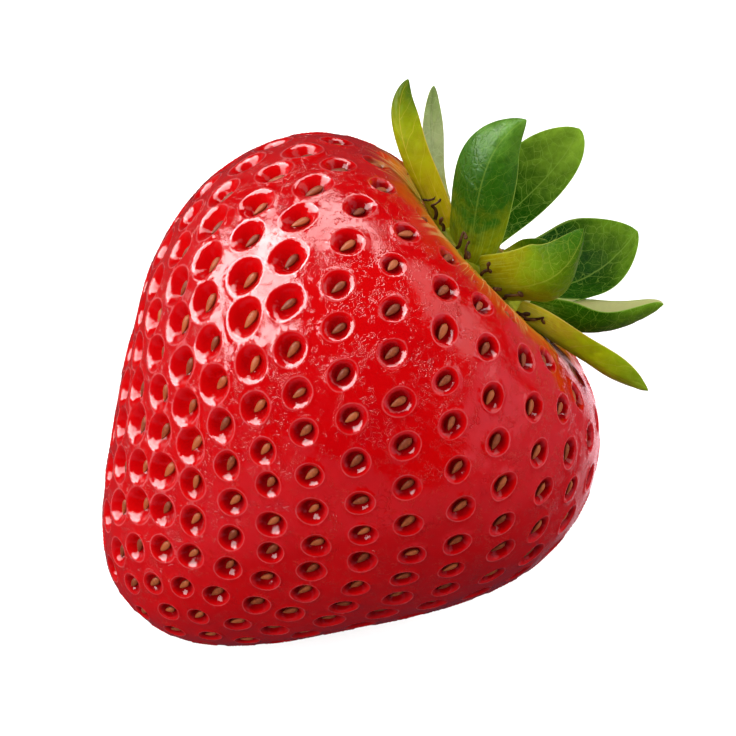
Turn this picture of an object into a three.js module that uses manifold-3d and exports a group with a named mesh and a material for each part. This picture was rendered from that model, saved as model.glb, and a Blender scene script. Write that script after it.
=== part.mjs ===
// A strawberry as picked, lying on its side: the fleshy fruit, the disc that carries the calyx,
// the cut stub of the stalk, five sepals, five bracts and the dried stamens.
// Units are millimetres and degrees. The row frame has +Z up, with the origin in the middle of the
// flat that the fruit rests on and the calyx towards +X.
//
// Every piece is first made in the berry's own frame: its axis is +Z, from the tip to the calyx.
// A place there is given by its azimuth about the axis, its distance from the axis and its height.

import * as THREE from 'three';
import { mergeVertices } from 'three/addons/utils/BufferGeometryUtils.js';
import { ParametricGeometry } from 'three/addons/geometries/ParametricGeometry.js';
import Module from 'manifold-3d';

// ---- Driving dimensions ------------------------------------------------------------------------

// The skin's distance from the fruit's middle, as a cosine series of the angle from the calyx pole.
const SKIN_SERIES = [20.6, 0, -0.15, -3.0, -0.4, -0.65, -0.1, -0.2];
// Sine terms that lean the shoulder towards azimuth 0 and lower it at azimuth 90.
const SHOULDER_LEAN = [0.37, 0.3, 0.16];
const SHOULDER_DIP = -0.2;

// How the fruit lies: its axis rises towards the calyx, and one side of its cone is underneath.
const AXIS_RISE = 30.75;
const UNDER_AZIMUTH = 240.6;
const FLAT_DEPTH = 0.25;

// Fineness of the fruit's mesh, around the axis and from pole to pole.
const FRUIT_AROUND = 60;
const FRUIT_ALONG = 36;

const GAP = 0.3;
const DISC = { radius: 4.5, height: 1.5, hollow: 0.5 };
const STUB = { radius: 1.1, neck: 0.9, length: 2.0 };

const LEAF_THICKNESS = 0.36;
const LEAF_AROUND = 16;
const LEAF_ALONG = 14;
// How quickly a leaf's rounded ends close: it has its full section within 1/12 of its length.
const END_SHARPNESS = 12;

// Each leaf: its midrib's four control points as [azimuth, distance, height], the half-widths of
// the two sides of the blade, where along the midrib it is widest, how blunt its outline is, the
// share of the width that its root keeps, and three angles at root and tip: the roll about the
// midrib, the fold along it and the curl of each side.
const LEAVES = [
  {
    name: 'sepal_1', midrib: [[80, 5.0, 18.7], [76, 7.9, 21.0], [57, 12.7, 24.8], [58, 10.2, 30.0]],
    halves: [4.2, 3.8], widest: 0.54, blunt: 0.62, root: 0.25, roll: [-8, 4], fold: [-16, -19], curl: [-35, -35],
  },
  {
    name: 'bract_1', midrib: [[100, 5.0, 18.4], [114, 9.8, 19.9], [129, 11.2, 22.2], [121, 8.3, 26.8]],
    halves: [3.2, 3.2], widest: 0.42, blunt: 0.55, root: 0.4, roll: [5, -15], fold: [-10, -30], curl: [-20, -20],
  },
  {
    name: 'sepal_2', midrib: [[148, 5.0, 18.6], [156, 9.6, 19.6], [161, 14.0, 19.4], [167, 18.2, 20.8]],
    halves: [2.2, 1.8], widest: 0.5, blunt: 0.6, root: 0.45, roll: [20, 35], fold: [-15, -15], curl: [-10, -10],
  },
  {
    name: 'bract_2', midrib: [[190, 5.0, 18.5], [190, 8.6, 19.3], [188, 13.0, 20.2], [184, 13.8, 26.7]],
    halves: [3.2, 3.2], widest: 0.5, blunt: 0.6, root: 0.35, roll: [-8, -12], fold: [-35, -25], curl: [-30, -20],
  },
  {
    name: 'sepal_3', midrib: [[226, 5.0, 18.9], [234, 9.5, 20.3], [226, 12.6, 24.2], [221, 10.5, 29.3]],
    halves: [4.2, 4.2], widest: 0.58, blunt: 0.6, root: 0.28, roll: [0, 0], fold: [-10, -10], curl: [-20, -20],
  },
  {
    name: 'bract_3', midrib: [[254, 5.0, 19.2], [251, 7.0, 20.6], [246, 7.6, 22.2], [242, 7.2, 24.8]],
    halves: [1.5, 1.5], widest: 0.5, blunt: 0.6, root: 0.5, roll: [0, 0], fold: [-10, -10], curl: [-20, -20],
  },
  {
    name: 'sepal_4', midrib: [[280, 5.0, 19.3], [281, 9.0, 21.0], [270, 10.5, 27.0], [282, 8.0, 31.9]],
    halves: [2.2, 4.0], widest: 0.6, blunt: 0.6, root: 0.3, roll: [0, 0], fold: [-10, -10], curl: [-20, -20],
  },
  {
    name: 'bract_4', midrib: [[314, 5.0, 19.4], [314, 7.5, 20.8], [313, 8.0, 24.0], [311, 7.2, 27.0]],
    halves: [1.8, 1.8], widest: 0.5, blunt: 0.6, root: 0.45, roll: [0, 0], fold: [-10, -10], curl: [-20, -20],
  },
  {
    name: 'sepal_5', midrib: [[346, 5.0, 19.4], [346, 8.0, 20.8], [346, 11.5, 22.8], [348, 13.6, 26.2]],
    halves: [1.5, 1.5], widest: 0.5, blunt: 0.6, root: 0.5, roll: [20, 50], fold: [-15, -15], curl: [-10, -10],
  },
  {
    name: 'bract_5', midrib: [[42, 5.0, 19.1], [38, 9.0, 20.3], [26, 15.3, 21.0], [17, 15.6, 25.4]],
    halves: [1.2, 2.6], widest: 0.54, blunt: 0.65, root: 0.35, roll: [-25, -50], fold: [-20, -15], curl: [-20, -10],
  },
];

const STAMENS = { count: 30, radius: 0.16, inner: 5.6, outer: 8.5, lift: 0.5, rise: 0.4, sway: 3 };

// ---- Shared geometry ---------------------------------------------------------------------------

const radians = THREE.MathUtils.degToRad;
const WELD = 1e-4;

/** A point in the berry's frame from its azimuth, distance from the axis and height. */
function berryPoint(azimuth, distance, height) {
  const turn = radians(azimuth);
  return new THREE.Vector3(distance * Math.cos(turn), distance * Math.sin(turn), height);
}

/** The skin's distance from the fruit's middle, at an angle from the calyx pole and a turn. */
function skinRadius(polar, turn) {
  const round = SKIN_SERIES.reduce((sum, size, order) => sum + size * Math.cos(order * polar), 0);
  const uneven = SHOULDER_LEAN.reduce((sum, size, order) => {
    const side = size * Math.cos(turn) + SHOULDER_DIP * Math.sin(turn);
    return sum + side * Math.sin((order + 2) * polar);
  }, 0);
  return round + uneven;
}

/** The skin's height at an azimuth and a distance from the axis, inside the fruit's shoulder. */
function skinHeight(azimuth, distance) {
  const turn = radians(azimuth);
  let low = 0;
  let high = radians(45);
  for (let step = 0; step < 40; step += 1) {
    const middle = (low + high) / 2;
    if (skinRadius(middle, turn) * Math.sin(middle) < distance) low = middle;
    else high = middle;
  }
  return skinRadius(low, turn) * Math.cos(low);
}

/** Volume inside a closed triangle mesh, negative when its faces point inwards. */
function signedVolume(geometry) {
  const corners = [new THREE.Vector3(), new THREE.Vector3(), new THREE.Vector3()];
  const { index, attributes: { position } } = geometry;
  let volume = 0;
  for (let face = 0; face < index.count; face += 3) {
    corners.forEach((corner, k) => corner.fromBufferAttribute(position, index.getX(face + k)));
    volume += corners[0].dot(corners[1].clone().cross(corners[2])) / 6;
  }
  return volume;
}

/** Weld a geometry into one closed mesh with no empty faces, all facing outwards. */
function closedSolid(geometry) {
  geometry.deleteAttribute('normal');
  geometry.deleteAttribute('uv');
  const welded = mergeVertices(geometry, WELD);
  const faces = [];
  for (let face = 0; face < welded.index.count; face += 3) {
    const [a, b, c] = [0, 1, 2].map((k) => welded.index.getX(face + k));
    if (a !== b && b !== c && c !== a) faces.push([a, b, c]);
  }
  welded.setIndex(faces.flat());
  if (signedVolume(welded) < 0) welded.setIndex(faces.map(([a, b, c]) => [a, c, b]).flat());
  return welded;
}

const wasm = await Module();
wasm.setup();

function toManifold(geometry) {
  const vertProperties = new Float32Array(geometry.attributes.position.array);
  const triVerts = new Uint32Array(geometry.index.array);
  return new wasm.Manifold(new wasm.Mesh({ numProp: 3, vertProperties, triVerts }));
}

function fromManifold(solid) {
  const { vertProperties, triVerts } = solid.getMesh();
  const geometry = new THREE.BufferGeometry();
  geometry.setAttribute('position', new THREE.BufferAttribute(vertProperties, 3));
  geometry.setIndex(new THREE.BufferAttribute(triVerts, 1));
  return geometry;
}

function namedMesh(name, geometry, { color, roughness }) {
  geometry.computeVertexNormals();
  const mesh = new THREE.Mesh(geometry, new THREE.MeshStandardMaterial({ color, roughness, metalness: 0 }));
  mesh.name = name;
  return mesh;
}

const FLESH = { color: 0xc41f21, roughness: 0.2 };
const SEPAL_GREEN = { color: 0x4f7a25, roughness: 0.45 };
const BRACT_GREEN = { color: 0x96a52c, roughness: 0.45 };
const DISC_GREEN = { color: 0xa8a83a, roughness: 0.5 };
const STUB_GREEN = { color: 0x8a9a3a, roughness: 0.6 };
const STAMEN_BROWN = { color: 0x4a2a14, roughness: 0.7 };

// ---- Fruit -------------------------------------------------------------------------------------

// The turn from the berry's frame to the row frame: the under side goes down, the calyx to +X.
const leanOver = new THREE.Matrix4()
  .makeRotationY(radians(90 - AXIS_RISE))
  .multiply(new THREE.Matrix4().makeRotationZ(-radians(UNDER_AZIMUTH)));

/** The whole fruit in the row's directions, before its resting flat. */
function leaningFruit() {
  const skin = (around, along, point) => {
    const [turn, polar] = [2 * Math.PI * around, Math.PI * along];
    point.setFromSphericalCoords(skinRadius(polar, turn), polar, turn);
    point.set(point.z, point.x, point.y);
  };
  const geometry = closedSolid(new ParametricGeometry(skin, FRUIT_AROUND, FRUIT_ALONG));
  geometry.applyMatrix4(leanOver);
  geometry.computeBoundingBox();
  return geometry;
}

/** Cut the resting flat at height 0 and return the fruit with the flat's middle. */
function cutFlat(whole) {
  const lift = -whole.boundingBox.min.z - FLAT_DEPTH;
  whole.translate(0, 0, lift);
  const below = new THREE.BoxGeometry(100, 100, 20).translate(0, 0, -10);
  const cut = toManifold(whole).subtract(toManifold(closedSolid(below)));
  const geometry = fromManifold(cut);
  const flat = new THREE.Box3();
  const corner = new THREE.Vector3();
  for (let k = 0; k < geometry.attributes.position.count; k += 1) {
    corner.fromBufferAttribute(geometry.attributes.position, k);
    if (Math.abs(corner.z) < WELD) flat.expandByPoint(corner);
  }
  return { geometry, lift, middle: flat.getCenter(corner) };
}

// ---- Calyx -------------------------------------------------------------------------------------

/** The thick saucer on the fruit's shoulder that carries the leaves. */
function discGeometry() {
  const surface = (around, across, point) => {
    const azimuth = 360 * around;
    const reach = 1 - Math.abs(2 * across - 1);
    const distance = DISC.radius * reach;
    const under = skinHeight(azimuth, distance) + GAP;
    const thickness = across < 0.5 ? 0 : DISC.height - DISC.hollow * (1 - reach * reach);
    point.copy(berryPoint(azimuth, distance, under + thickness * (reach === 1 ? 0 : 1)));
  };
  return closedSolid(new ParametricGeometry(surface, 30, 10));
}

/** The cut stub of the stalk, standing in the saucer. */
function stubGeometry() {
  const foot = skinHeight(0, 2 * STUB.radius) + GAP + DISC.height - DISC.hollow + GAP;
  const profile = [
    [0, 0], [STUB.radius, 0], [STUB.neck, 0.4 * STUB.length], [STUB.radius, STUB.length], [0, STUB.length],
  ];
  const points = profile.map(([distance, height]) => new THREE.Vector2(distance, height));
  const standing = new THREE.LatheGeometry(points, 16).rotateX(Math.PI / 2).translate(0, 0, foot);
  return closedSolid(standing);
}

/** Half-width of a blade, as a share of its fullest, at a place along its midrib. */
function bladeOutline(leaf, along) {
  const eased = along ** (Math.log(0.5) / Math.log(leaf.widest));
  const blade = Math.max(4 * eased * (1 - eased), 0) ** leaf.blunt;
  const foot = leaf.root * (1 - along) ** 1.2;
  return blade + foot * (1 - blade);
}

/** One leaf: a thin blade bent about its midrib, with rounded edges and ends. */
function leafGeometry(leaf) {
  const midrib = new THREE.CubicBezierCurve3(...leaf.midrib.map((place) => berryPoint(...place)));
  const [rootAzimuth] = leaf.midrib[0];
  const sideways = berryPoint(rootAzimuth + 90, 1, 0);
  const surface = (around, along, point) => {
    const t = 1 - (1 - along) ** 1.3;
    const between = ([root, tip]) => radians(THREE.MathUtils.lerp(root, tip, t));
    const tangent = midrib.getTangent(t);
    const side = sideways.clone().addScaledVector(tangent, -tangent.dot(sideways)).normalize();
    const face = side.clone().cross(tangent).applyAxisAngle(tangent, -between(leaf.roll));
    side.applyAxisAngle(tangent, -between(leaf.roll));

    const loop = 2 * Math.PI * around;
    const across = Math.cos(loop);
    const end = Math.min(1, END_SHARPNESS * along, END_SHARPNESS * (1 - along));
    const half = leaf.halves[across < 0 ? 0 : 1] * bladeOutline(leaf, t) * Math.min(1, END_SHARPNESS * along);
    const [fold, curl] = [between(leaf.fold), between(leaf.curl)];
    const bend = fold + curl * Math.abs(across);
    const reach = (half * (Math.sin(bend) - Math.sin(fold))) / curl;
    const rise = (half * (Math.cos(fold) - Math.cos(bend))) / curl;
    const offset = (LEAF_THICKNESS / 2) * Math.sin(loop) * end;
    point.copy(midrib.getPoint(t))
      .addScaledVector(side, Math.sign(across) * (reach - offset * Math.sin(bend)))
      .addScaledVector(face, rise + offset * Math.cos(bend));
  };
  return closedSolid(new ParametricGeometry(surface, LEAF_AROUND, LEAF_ALONG));
}

/** One dried stamen, lying outwards over the fruit's shoulder. */
function stamenGeometry(number) {
  const azimuth = (360 / STAMENS.count) * number + 2 * Math.sin(2.4 * number);
  const shares = [0, 0.35, 0.7, 1];
  const points = shares.map((share, k) => {
    const distance = THREE.MathUtils.lerp(STAMENS.inner, STAMENS.outer + 0.4 * Math.sin(1.7 * number), share);
    const turn = azimuth + share * STAMENS.sway * Math.sin(2.1 * number + 2 * k);
    const height = skinHeight(turn, distance) + STAMENS.lift + STAMENS.rise * share * share;
    return berryPoint(turn, distance, height);
  });
  const section = new THREE.Shape().absarc(0, 0, STAMENS.radius, 0, 2 * Math.PI);
  const extrudePath = new THREE.CatmullRomCurve3(points);
  const options = { steps: 7, curveSegments: 3, bevelEnabled: false, extrudePath };
  return closedSolid(new THREE.ExtrudeGeometry(section, options));
}

// ---- The whole berry ---------------------------------------------------------------------------

const berry = new THREE.Group();
const fruit = cutFlat(leaningFruit());
fruit.geometry.translate(-fruit.middle.x, -fruit.middle.y, 0);
berry.add(namedMesh('fruit', fruit.geometry, FLESH));

const calyx = new THREE.Group();
calyx.applyMatrix4(leanOver);
calyx.position.set(-fruit.middle.x, -fruit.middle.y, fruit.lift);
calyx.add(namedMesh('calyx_disc', discGeometry(), DISC_GREEN));
calyx.add(namedMesh('stem_stub', stubGeometry(), STUB_GREEN));
for (const leaf of LEAVES) {
  calyx.add(namedMesh(leaf.name, leafGeometry(leaf), leaf.name.startsWith('sepal') ? SEPAL_GREEN : BRACT_GREEN));
}
for (let number = 1; number <= STAMENS.count; number += 1) {
  calyx.add(namedMesh(`stamen_${String(number).padStart(2, '0')}`, stamenGeometry(number), STAMEN_BROWN));
}
berry.add(calyx);

export default berry;
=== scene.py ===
"""A ripe strawberry lying on its side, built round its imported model.

Lengths are millimetres in the berry's own frame, where +Z runs from the tip to the calyx, and a
place there is given by its azimuth about that axis, its distance from the axis and its height.
A finished piece is in metres in the row frame, with +Z up.
"""
import logging
import math
from collections.abc import Sequence
from dataclasses import dataclass, field, replace
from enum import Enum

import bmesh
import bpy
import numpy as np
from mathutils import Matrix, Vector, geometry


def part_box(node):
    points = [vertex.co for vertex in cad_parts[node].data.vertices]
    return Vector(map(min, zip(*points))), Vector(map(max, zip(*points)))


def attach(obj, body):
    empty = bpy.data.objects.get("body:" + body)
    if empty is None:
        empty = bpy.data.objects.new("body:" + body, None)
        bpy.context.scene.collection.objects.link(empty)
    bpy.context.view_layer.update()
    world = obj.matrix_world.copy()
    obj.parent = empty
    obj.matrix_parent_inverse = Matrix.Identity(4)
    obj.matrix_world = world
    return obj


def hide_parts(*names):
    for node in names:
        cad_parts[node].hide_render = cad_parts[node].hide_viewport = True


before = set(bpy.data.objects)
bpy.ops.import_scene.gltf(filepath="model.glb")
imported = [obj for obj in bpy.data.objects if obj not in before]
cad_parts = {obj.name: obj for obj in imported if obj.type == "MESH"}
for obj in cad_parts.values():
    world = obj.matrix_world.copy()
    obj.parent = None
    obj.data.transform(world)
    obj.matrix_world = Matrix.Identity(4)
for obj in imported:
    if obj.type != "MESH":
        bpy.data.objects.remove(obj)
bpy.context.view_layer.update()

LOG = logging.getLogger("strawberry")
MM = 0.001
WELD = 1e-7
GOLDEN_ANGLE = 137.508

Place = tuple[float, float, float]
Pair = tuple[float, float]
Colour = tuple[float, float, float, float]


# ---- Small helpers -----------------------------------------------------------------------------


def shade(red: int, green: int, blue: int) -> Colour:
    """A linear colour from its display values.

    Args:
        red: Red as displayed, from 0 to 255.
        green: Green as displayed.
        blue: Blue as displayed.

    Returns:
        The linear red, green and blue, with an alpha of 1.
    """
    def linear(display: int) -> float:
        """One channel made linear."""
        share = display / 255
        return share / 12.92 if share <= 0.04045 else ((share + 0.055) / 1.055) ** 2.4

    return (linear(red), linear(green), linear(blue), 1.0)


def unit(vectors: np.ndarray) -> np.ndarray:
    """Vectors of length 1 in the directions of the given ones."""
    return vectors / np.linalg.norm(vectors, axis=-1, keepdims=True)


def smooth_step(low: float, high: float, values: np.ndarray) -> np.ndarray:
    """A smooth rise from 0 at low to 1 at high.

    Args:
        low: The value at which the rise starts.
        high: The value at which it ends, which may be the smaller of the two.
        values: Where the rise is wanted.

    Returns:
        The rise at each value.
    """
    share = np.clip((values - low) / (high - low), 0, 1)
    return share * share * (3 - 2 * share)


def ripple(points: np.ndarray, length: float, seed: int, waves: int = 9) -> np.ndarray:
    """A smooth random swell over space, mostly between -1 and 1.

    Args:
        points: Where the swell is wanted, one point a row.
        length: About how far apart its crests are, in the points' unit.
        seed: The seed of its random waves.
        waves: How many plane waves it is made of.

    Returns:
        The swell at each point.
    """
    draw = np.random.default_rng(seed)
    directions = unit(draw.normal(size=(waves, 3)))
    numbers = 2 * np.pi / (length * draw.uniform(0.7, 1.5, waves))
    phases = draw.uniform(0, 2 * np.pi, waves)
    return np.sin(points @ directions.T * numbers + phases).sum(axis=-1) / math.sqrt(waves)


def berry_point(azimuth: np.ndarray, distance: np.ndarray, height: np.ndarray) -> np.ndarray:
    """Points in the berry's frame.

    Args:
        azimuth: The turn about the axis, in degrees.
        distance: The distance from the axis.
        height: The height along the axis.

    Returns:
        The points, with their three coordinates last.
    """
    turn = np.radians(azimuth)
    return np.stack([distance * np.cos(turn), distance * np.sin(turn), height + 0 * turn], axis=-1)


# ---- Meshes ------------------------------------------------------------------------------------


def new_piece(name: str, points: np.ndarray, faces: Sequence[Sequence[int]]) -> bpy.types.Object:
    """A smooth mesh object at the origin.

    Args:
        name: The piece's name.
        points: Its vertices in the row frame, in metres.
        faces: Its faces, as vertex numbers.

    Returns:
        The object, linked into the scene.
    """
    mesh = bpy.data.meshes.new(name)
    mesh.from_pydata(np.asarray(points, float).tolist(), [], faces)
    mesh.polygons.foreach_set("use_smooth", np.ones(len(mesh.polygons), bool))
    piece = bpy.data.objects.new(name, mesh)
    bpy.context.scene.collection.objects.link(piece)
    return piece


def mark(piece: bpy.types.Object, name: str, values: np.ndarray) -> None:
    """Store one number a vertex on a piece, for its material to read.

    Args:
        piece: The mesh object.
        name: The attribute's name.
        values: One value for each vertex.
    """
    attribute = piece.data.attributes.new(name, "FLOAT", "POINT")
    attribute.data.foreach_set("value", np.asarray(values, np.float32).ravel())


def close_up(piece: bpy.types.Object) -> None:
    """Weld a piece's seams and poles and turn its faces outwards."""
    shell = bmesh.new()
    shell.from_mesh(piece.data)
    bmesh.ops.remove_doubles(shell, verts=shell.verts, dist=WELD)
    bmesh.ops.recalc_face_normals(shell, faces=shell.faces)
    shell.to_mesh(piece.data)
    shell.free()


def ring_faces(rings: int, around: int) -> list[tuple[int, int, int, int]]:
    """Faces between rings of vertices that follow each other.

    Args:
        rings: How many rings there are.
        around: How many vertices each has.

    Returns:
        The faces, as vertex numbers.
    """
    faces = []
    for ring in range(rings - 1):
        for step in range(around):
            here, beyond = ring * around + step, ring * around + (step + 1) % around
            faces.append((here, beyond, beyond + around, here + around))
    return faces


def finish_piece(
    piece: bpy.types.Object, material: bpy.types.Material, nodes: Sequence[str] = ()
) -> bpy.types.Object:
    """Give a piece its material and its ride, and hide the model's nodes that it stands for.

    Args:
        piece: The finished mesh object.
        material: Its material.
        nodes: The model's nodes that it stands for.

    Returns:
        The piece.
    """
    piece.data.materials.clear()
    piece.data.materials.append(material)
    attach(piece, "root")
    if nodes:
        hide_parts(*nodes)
    return piece


# ---- Node trees --------------------------------------------------------------------------------


@dataclass
class Graph:
    """A node tree, with short ways to add its nodes and to join them."""

    tree: bpy.types.NodeTree

    def feed(self, socket: bpy.types.NodeSocket, value: object) -> None:
        """Set a socket to a value, or join it to another node's output."""
        if isinstance(value, bpy.types.NodeSocket):
            self.tree.links.new(value, socket)
        else:
            socket.default_value = value

    def add(
        self, kind: str, inputs: dict[str | int, object] | None = None, **settings: object
    ) -> bpy.types.Node:
        """Add a node.

        Args:
            kind: Its type's name.
            inputs: Values or outputs for its inputs, by name or number.
            **settings: Its other properties.

        Returns:
            The node.
        """
        node = self.tree.nodes.new(kind)
        for name, value in settings.items():
            setattr(node, name, value)
        for name, value in (inputs or {}).items():
            self.feed(node.inputs[name], value)
        return node

    def sum(self, operation: str, *values: object, clamp: bool = False) -> bpy.types.NodeSocket:
        """The result of a Math node.

        Args:
            operation: The node's operation.
            *values: Its operands, as numbers or outputs.
            clamp: Whether the result is kept between 0 and 1.

        Returns:
            The node's output.
        """
        inputs = dict(enumerate(values))
        return self.add("ShaderNodeMath", inputs, operation=operation, use_clamp=clamp).outputs[0]

    def blend(
        self, share: object, first: object, second: object, mode: str = "MIX"
    ) -> bpy.types.NodeSocket:
        """A mix of two colours.

        Args:
            share: How much of the second there is.
            first: The first colour.
            second: The second colour.
            mode: How they are mixed.

        Returns:
            The colour that results.
        """
        inputs = {0: share, 6: first, 7: second}
        node = self.add("ShaderNodeMix", inputs, data_type="RGBA", blend_type=mode)
        return node.outputs[2]

    def noise(
        self, place: object, scale: float, detail: float = 2.0, roughness: float = 0.5,
        distortion: float = 0.0,
    ) -> bpy.types.NodeSocket:
        """A noise texture's value.

        Args:
            place: Where it is read.
            scale: Its lumps a metre.
            detail: How many finer layers it has.
            roughness: How strong each finer layer is.
            distortion: How much it is twisted.

        Returns:
            Its value, about 0.5 in the middle.
        """
        inputs = {
            "Vector": place, "Scale": scale, "Detail": detail,
            "Roughness": roughness, "Distortion": distortion,
        }
        return self.add("ShaderNodeTexNoise", inputs).outputs[0]

    def rise(
        self, value: object, low: float, high: float, start: float = 0.0, end: float = 1.0
    ) -> bpy.types.NodeSocket:
        """A smooth change from start to end as a value goes from low to high.

        Args:
            value: The value.
            low: Where the change begins.
            high: Where it is complete.
            start: The result before it.
            end: The result after it.

        Returns:
            The result.
        """
        inputs = {"Value": value, "From Min": low, "From Max": high, "To Min": start, "To Max": end}
        return self.add("ShaderNodeMapRange", inputs, interpolation_type="SMOOTHSTEP").outputs[0]

    def read(self, name: str) -> bpy.types.NodeSocket:
        """The value of one of the piece's attributes."""
        return self.add("ShaderNodeAttribute", attribute_name=name).outputs["Fac"]

    def place(self) -> bpy.types.NodeSocket:
        """The piece's own coordinates, in metres."""
        return self.add("ShaderNodeTexCoord").outputs["Object"]

    def relief(self, height: object, depth: float, under: object = None) -> bpy.types.NodeSocket:
        """A normal tilted by a height.

        Args:
            height: The height, from 0 to 1.
            depth: What a height of 1 stands for, in metres.
            under: A coarser relief's normal, if there is one.

        Returns:
            The normal.
        """
        inputs = {"Height": height, "Strength": 1.0, "Distance": depth}
        if under is not None:
            inputs["Normal"] = under
        return self.add("ShaderNodeBump", inputs).outputs[0]

    def use(self, group: bpy.types.NodeTree, inputs: dict[str, object]) -> bpy.types.Node:
        """Place a shared group with its own values.

        Args:
            group: The group.
            inputs: Values or outputs for its inputs.

        Returns:
            The group node.
        """
        node = self.tree.nodes.new("ShaderNodeGroup")
        node.node_tree = group
        for name, value in inputs.items():
            self.feed(node.inputs[name], value)
        return node


@dataclass
class Surface:
    """A material being made: its graph and its surface shader."""

    name: str
    material: bpy.types.Material = field(init=False)
    graph: Graph = field(init=False)
    shader: bpy.types.Node = field(init=False)

    def __post_init__(self) -> None:
        """Start the material with an empty graph and one surface shader."""
        self.material = bpy.data.materials.new(self.name)
        self.material.use_nodes = True
        self.material.node_tree.nodes.clear()
        self.graph = Graph(self.material.node_tree)
        self.shader = self.graph.add("ShaderNodeBsdfPrincipled")
        self.graph.add("ShaderNodeOutputMaterial", {"Surface": self.shader.outputs[0]})

    def set(self, **values: object) -> None:
        """Set the shader's inputs, named with underlines for spaces."""
        for name, value in values.items():
            self.graph.feed(self.shader.inputs[name.replace("_", " ")], value)


class Kind(Enum):
    """What a group's socket carries."""

    NUMBER = "NodeSocketFloat"
    VECTOR = "NodeSocketVector"
    SHAPE = "NodeSocketGeometry"
    OBJECT = "NodeSocketObject"
    MATERIAL = "NodeSocketMaterial"


def new_group(
    name: str, kind: str, inputs: dict[str, tuple[Kind, object]], outputs: dict[str, Kind]
) -> tuple[Graph, bpy.types.Node, bpy.types.Node]:
    """Start a node group with its named sockets.

    Args:
        name: The group's name.
        kind: The type of its tree.
        inputs: What each input carries, and its first value or None.
        outputs: What each output carries.

    Returns:
        Its graph, the node that holds its inputs and the node that takes its outputs.
    """
    tree = bpy.data.node_groups.new(name, kind)
    for title, (carries, value) in inputs.items():
        socket = tree.interface.new_socket(name=title, in_out="INPUT", socket_type=carries.value)
        if value is not None:
            socket.default_value = value
    for title, carries in outputs.items():
        tree.interface.new_socket(name=title, in_out="OUTPUT", socket_type=carries.value)
    graph = Graph(tree)
    return graph, graph.add("NodeGroupInput"), graph.add("NodeGroupOutput")


@dataclass
class Effects:
    """The effects that the finishes share or use several times, each a shader node group."""

    mottle: bpy.types.NodeTree = field(init=False)
    grain: bpy.types.NodeTree = field(init=False)
    creases: bpy.types.NodeTree = field(init=False)

    def __post_init__(self) -> None:
        """Build the groups."""
        self.mottle = self.mottle_group()
        self.grain = self.grain_group()
        self.creases = self.creases_group()

    @staticmethod
    def mottle_group() -> bpy.types.NodeTree:
        """Soft blotches of two sizes, from 0 to 1."""
        graph, given, result = new_group(
            "soft blotches", "ShaderNodeTree",
            {"Place": (Kind.VECTOR, None), "Lumps": (Kind.NUMBER, 150.0), "Spread": (Kind.NUMBER, 0.2)},
            {"Mask": Kind.NUMBER},
        )
        fine = graph.sum("MULTIPLY", given.outputs["Lumps"], 4.3)
        large = graph.noise(given.outputs["Place"], given.outputs["Lumps"], 2.0)
        small = graph.noise(given.outputs["Place"], fine, 3.0)
        both = graph.sum("MULTIPLY_ADD", small, 0.45, graph.sum("MULTIPLY", large, 0.55))
        spread = given.outputs["Spread"]
        low, high = graph.sum("SUBTRACT", 0.5, spread), graph.sum("ADD", 0.5, spread)
        graph.feed(result.inputs["Mask"], graph.rise(both, low, high))
        return graph.tree

    @staticmethod
    def grain_group() -> bpy.types.NodeTree:
        """A fine cell-like grain, as a height from 0 to 1."""
        graph, given, result = new_group(
            "cell grain", "ShaderNodeTree",
            {"Place": (Kind.VECTOR, None), "Cells": (Kind.NUMBER, 8000.0)},
            {"Height": Kind.NUMBER},
        )
        cells = graph.add(
            "ShaderNodeTexVoronoi", {"Vector": given.outputs["Place"], "Scale": given.outputs["Cells"]},
            feature="SMOOTH_F1",
        ).outputs["Distance"]
        finer = graph.sum("MULTIPLY", given.outputs["Cells"], 2.6)
        rough = graph.noise(given.outputs["Place"], finer, 1.0)
        height = graph.sum("MULTIPLY_ADD", cells, -0.7, graph.sum("MULTIPLY_ADD", rough, 0.3, 0.7))
        graph.feed(result.inputs["Height"], height)
        return graph.tree

    @staticmethod
    def creases_group() -> bpy.types.NodeTree:
        """Thin winding lines in patches, from 0 to 1."""
        graph, given, result = new_group(
            "winding creases", "ShaderNodeTree",
            {
                "Place": (Kind.VECTOR, None), "Lines": (Kind.NUMBER, 900.0),
                "Width": (Kind.NUMBER, 0.03), "Cover": (Kind.NUMBER, 0.5),
            },
            {"Mask": Kind.NUMBER},
        )
        place = given.outputs["Place"]
        winding = graph.noise(place, given.outputs["Lines"], 1.5, 0.6, 0.8)
        off = graph.sum("ABSOLUTE", graph.sum("SUBTRACT", winding, 0.5))
        line = graph.rise(off, given.outputs["Width"], 0.0)
        patches = graph.noise(place, graph.sum("MULTIPLY", given.outputs["Lines"], 0.31), 1.0)
        edge = graph.sum("SUBTRACT", 1.0, given.outputs["Cover"])
        patch = graph.rise(patches, edge, graph.sum("ADD", edge, 0.08))
        graph.feed(result.inputs["Mask"], graph.sum("MULTIPLY", line, patch))
        return graph.tree


# ---- Finishes ----------------------------------------------------------------------------------


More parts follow.
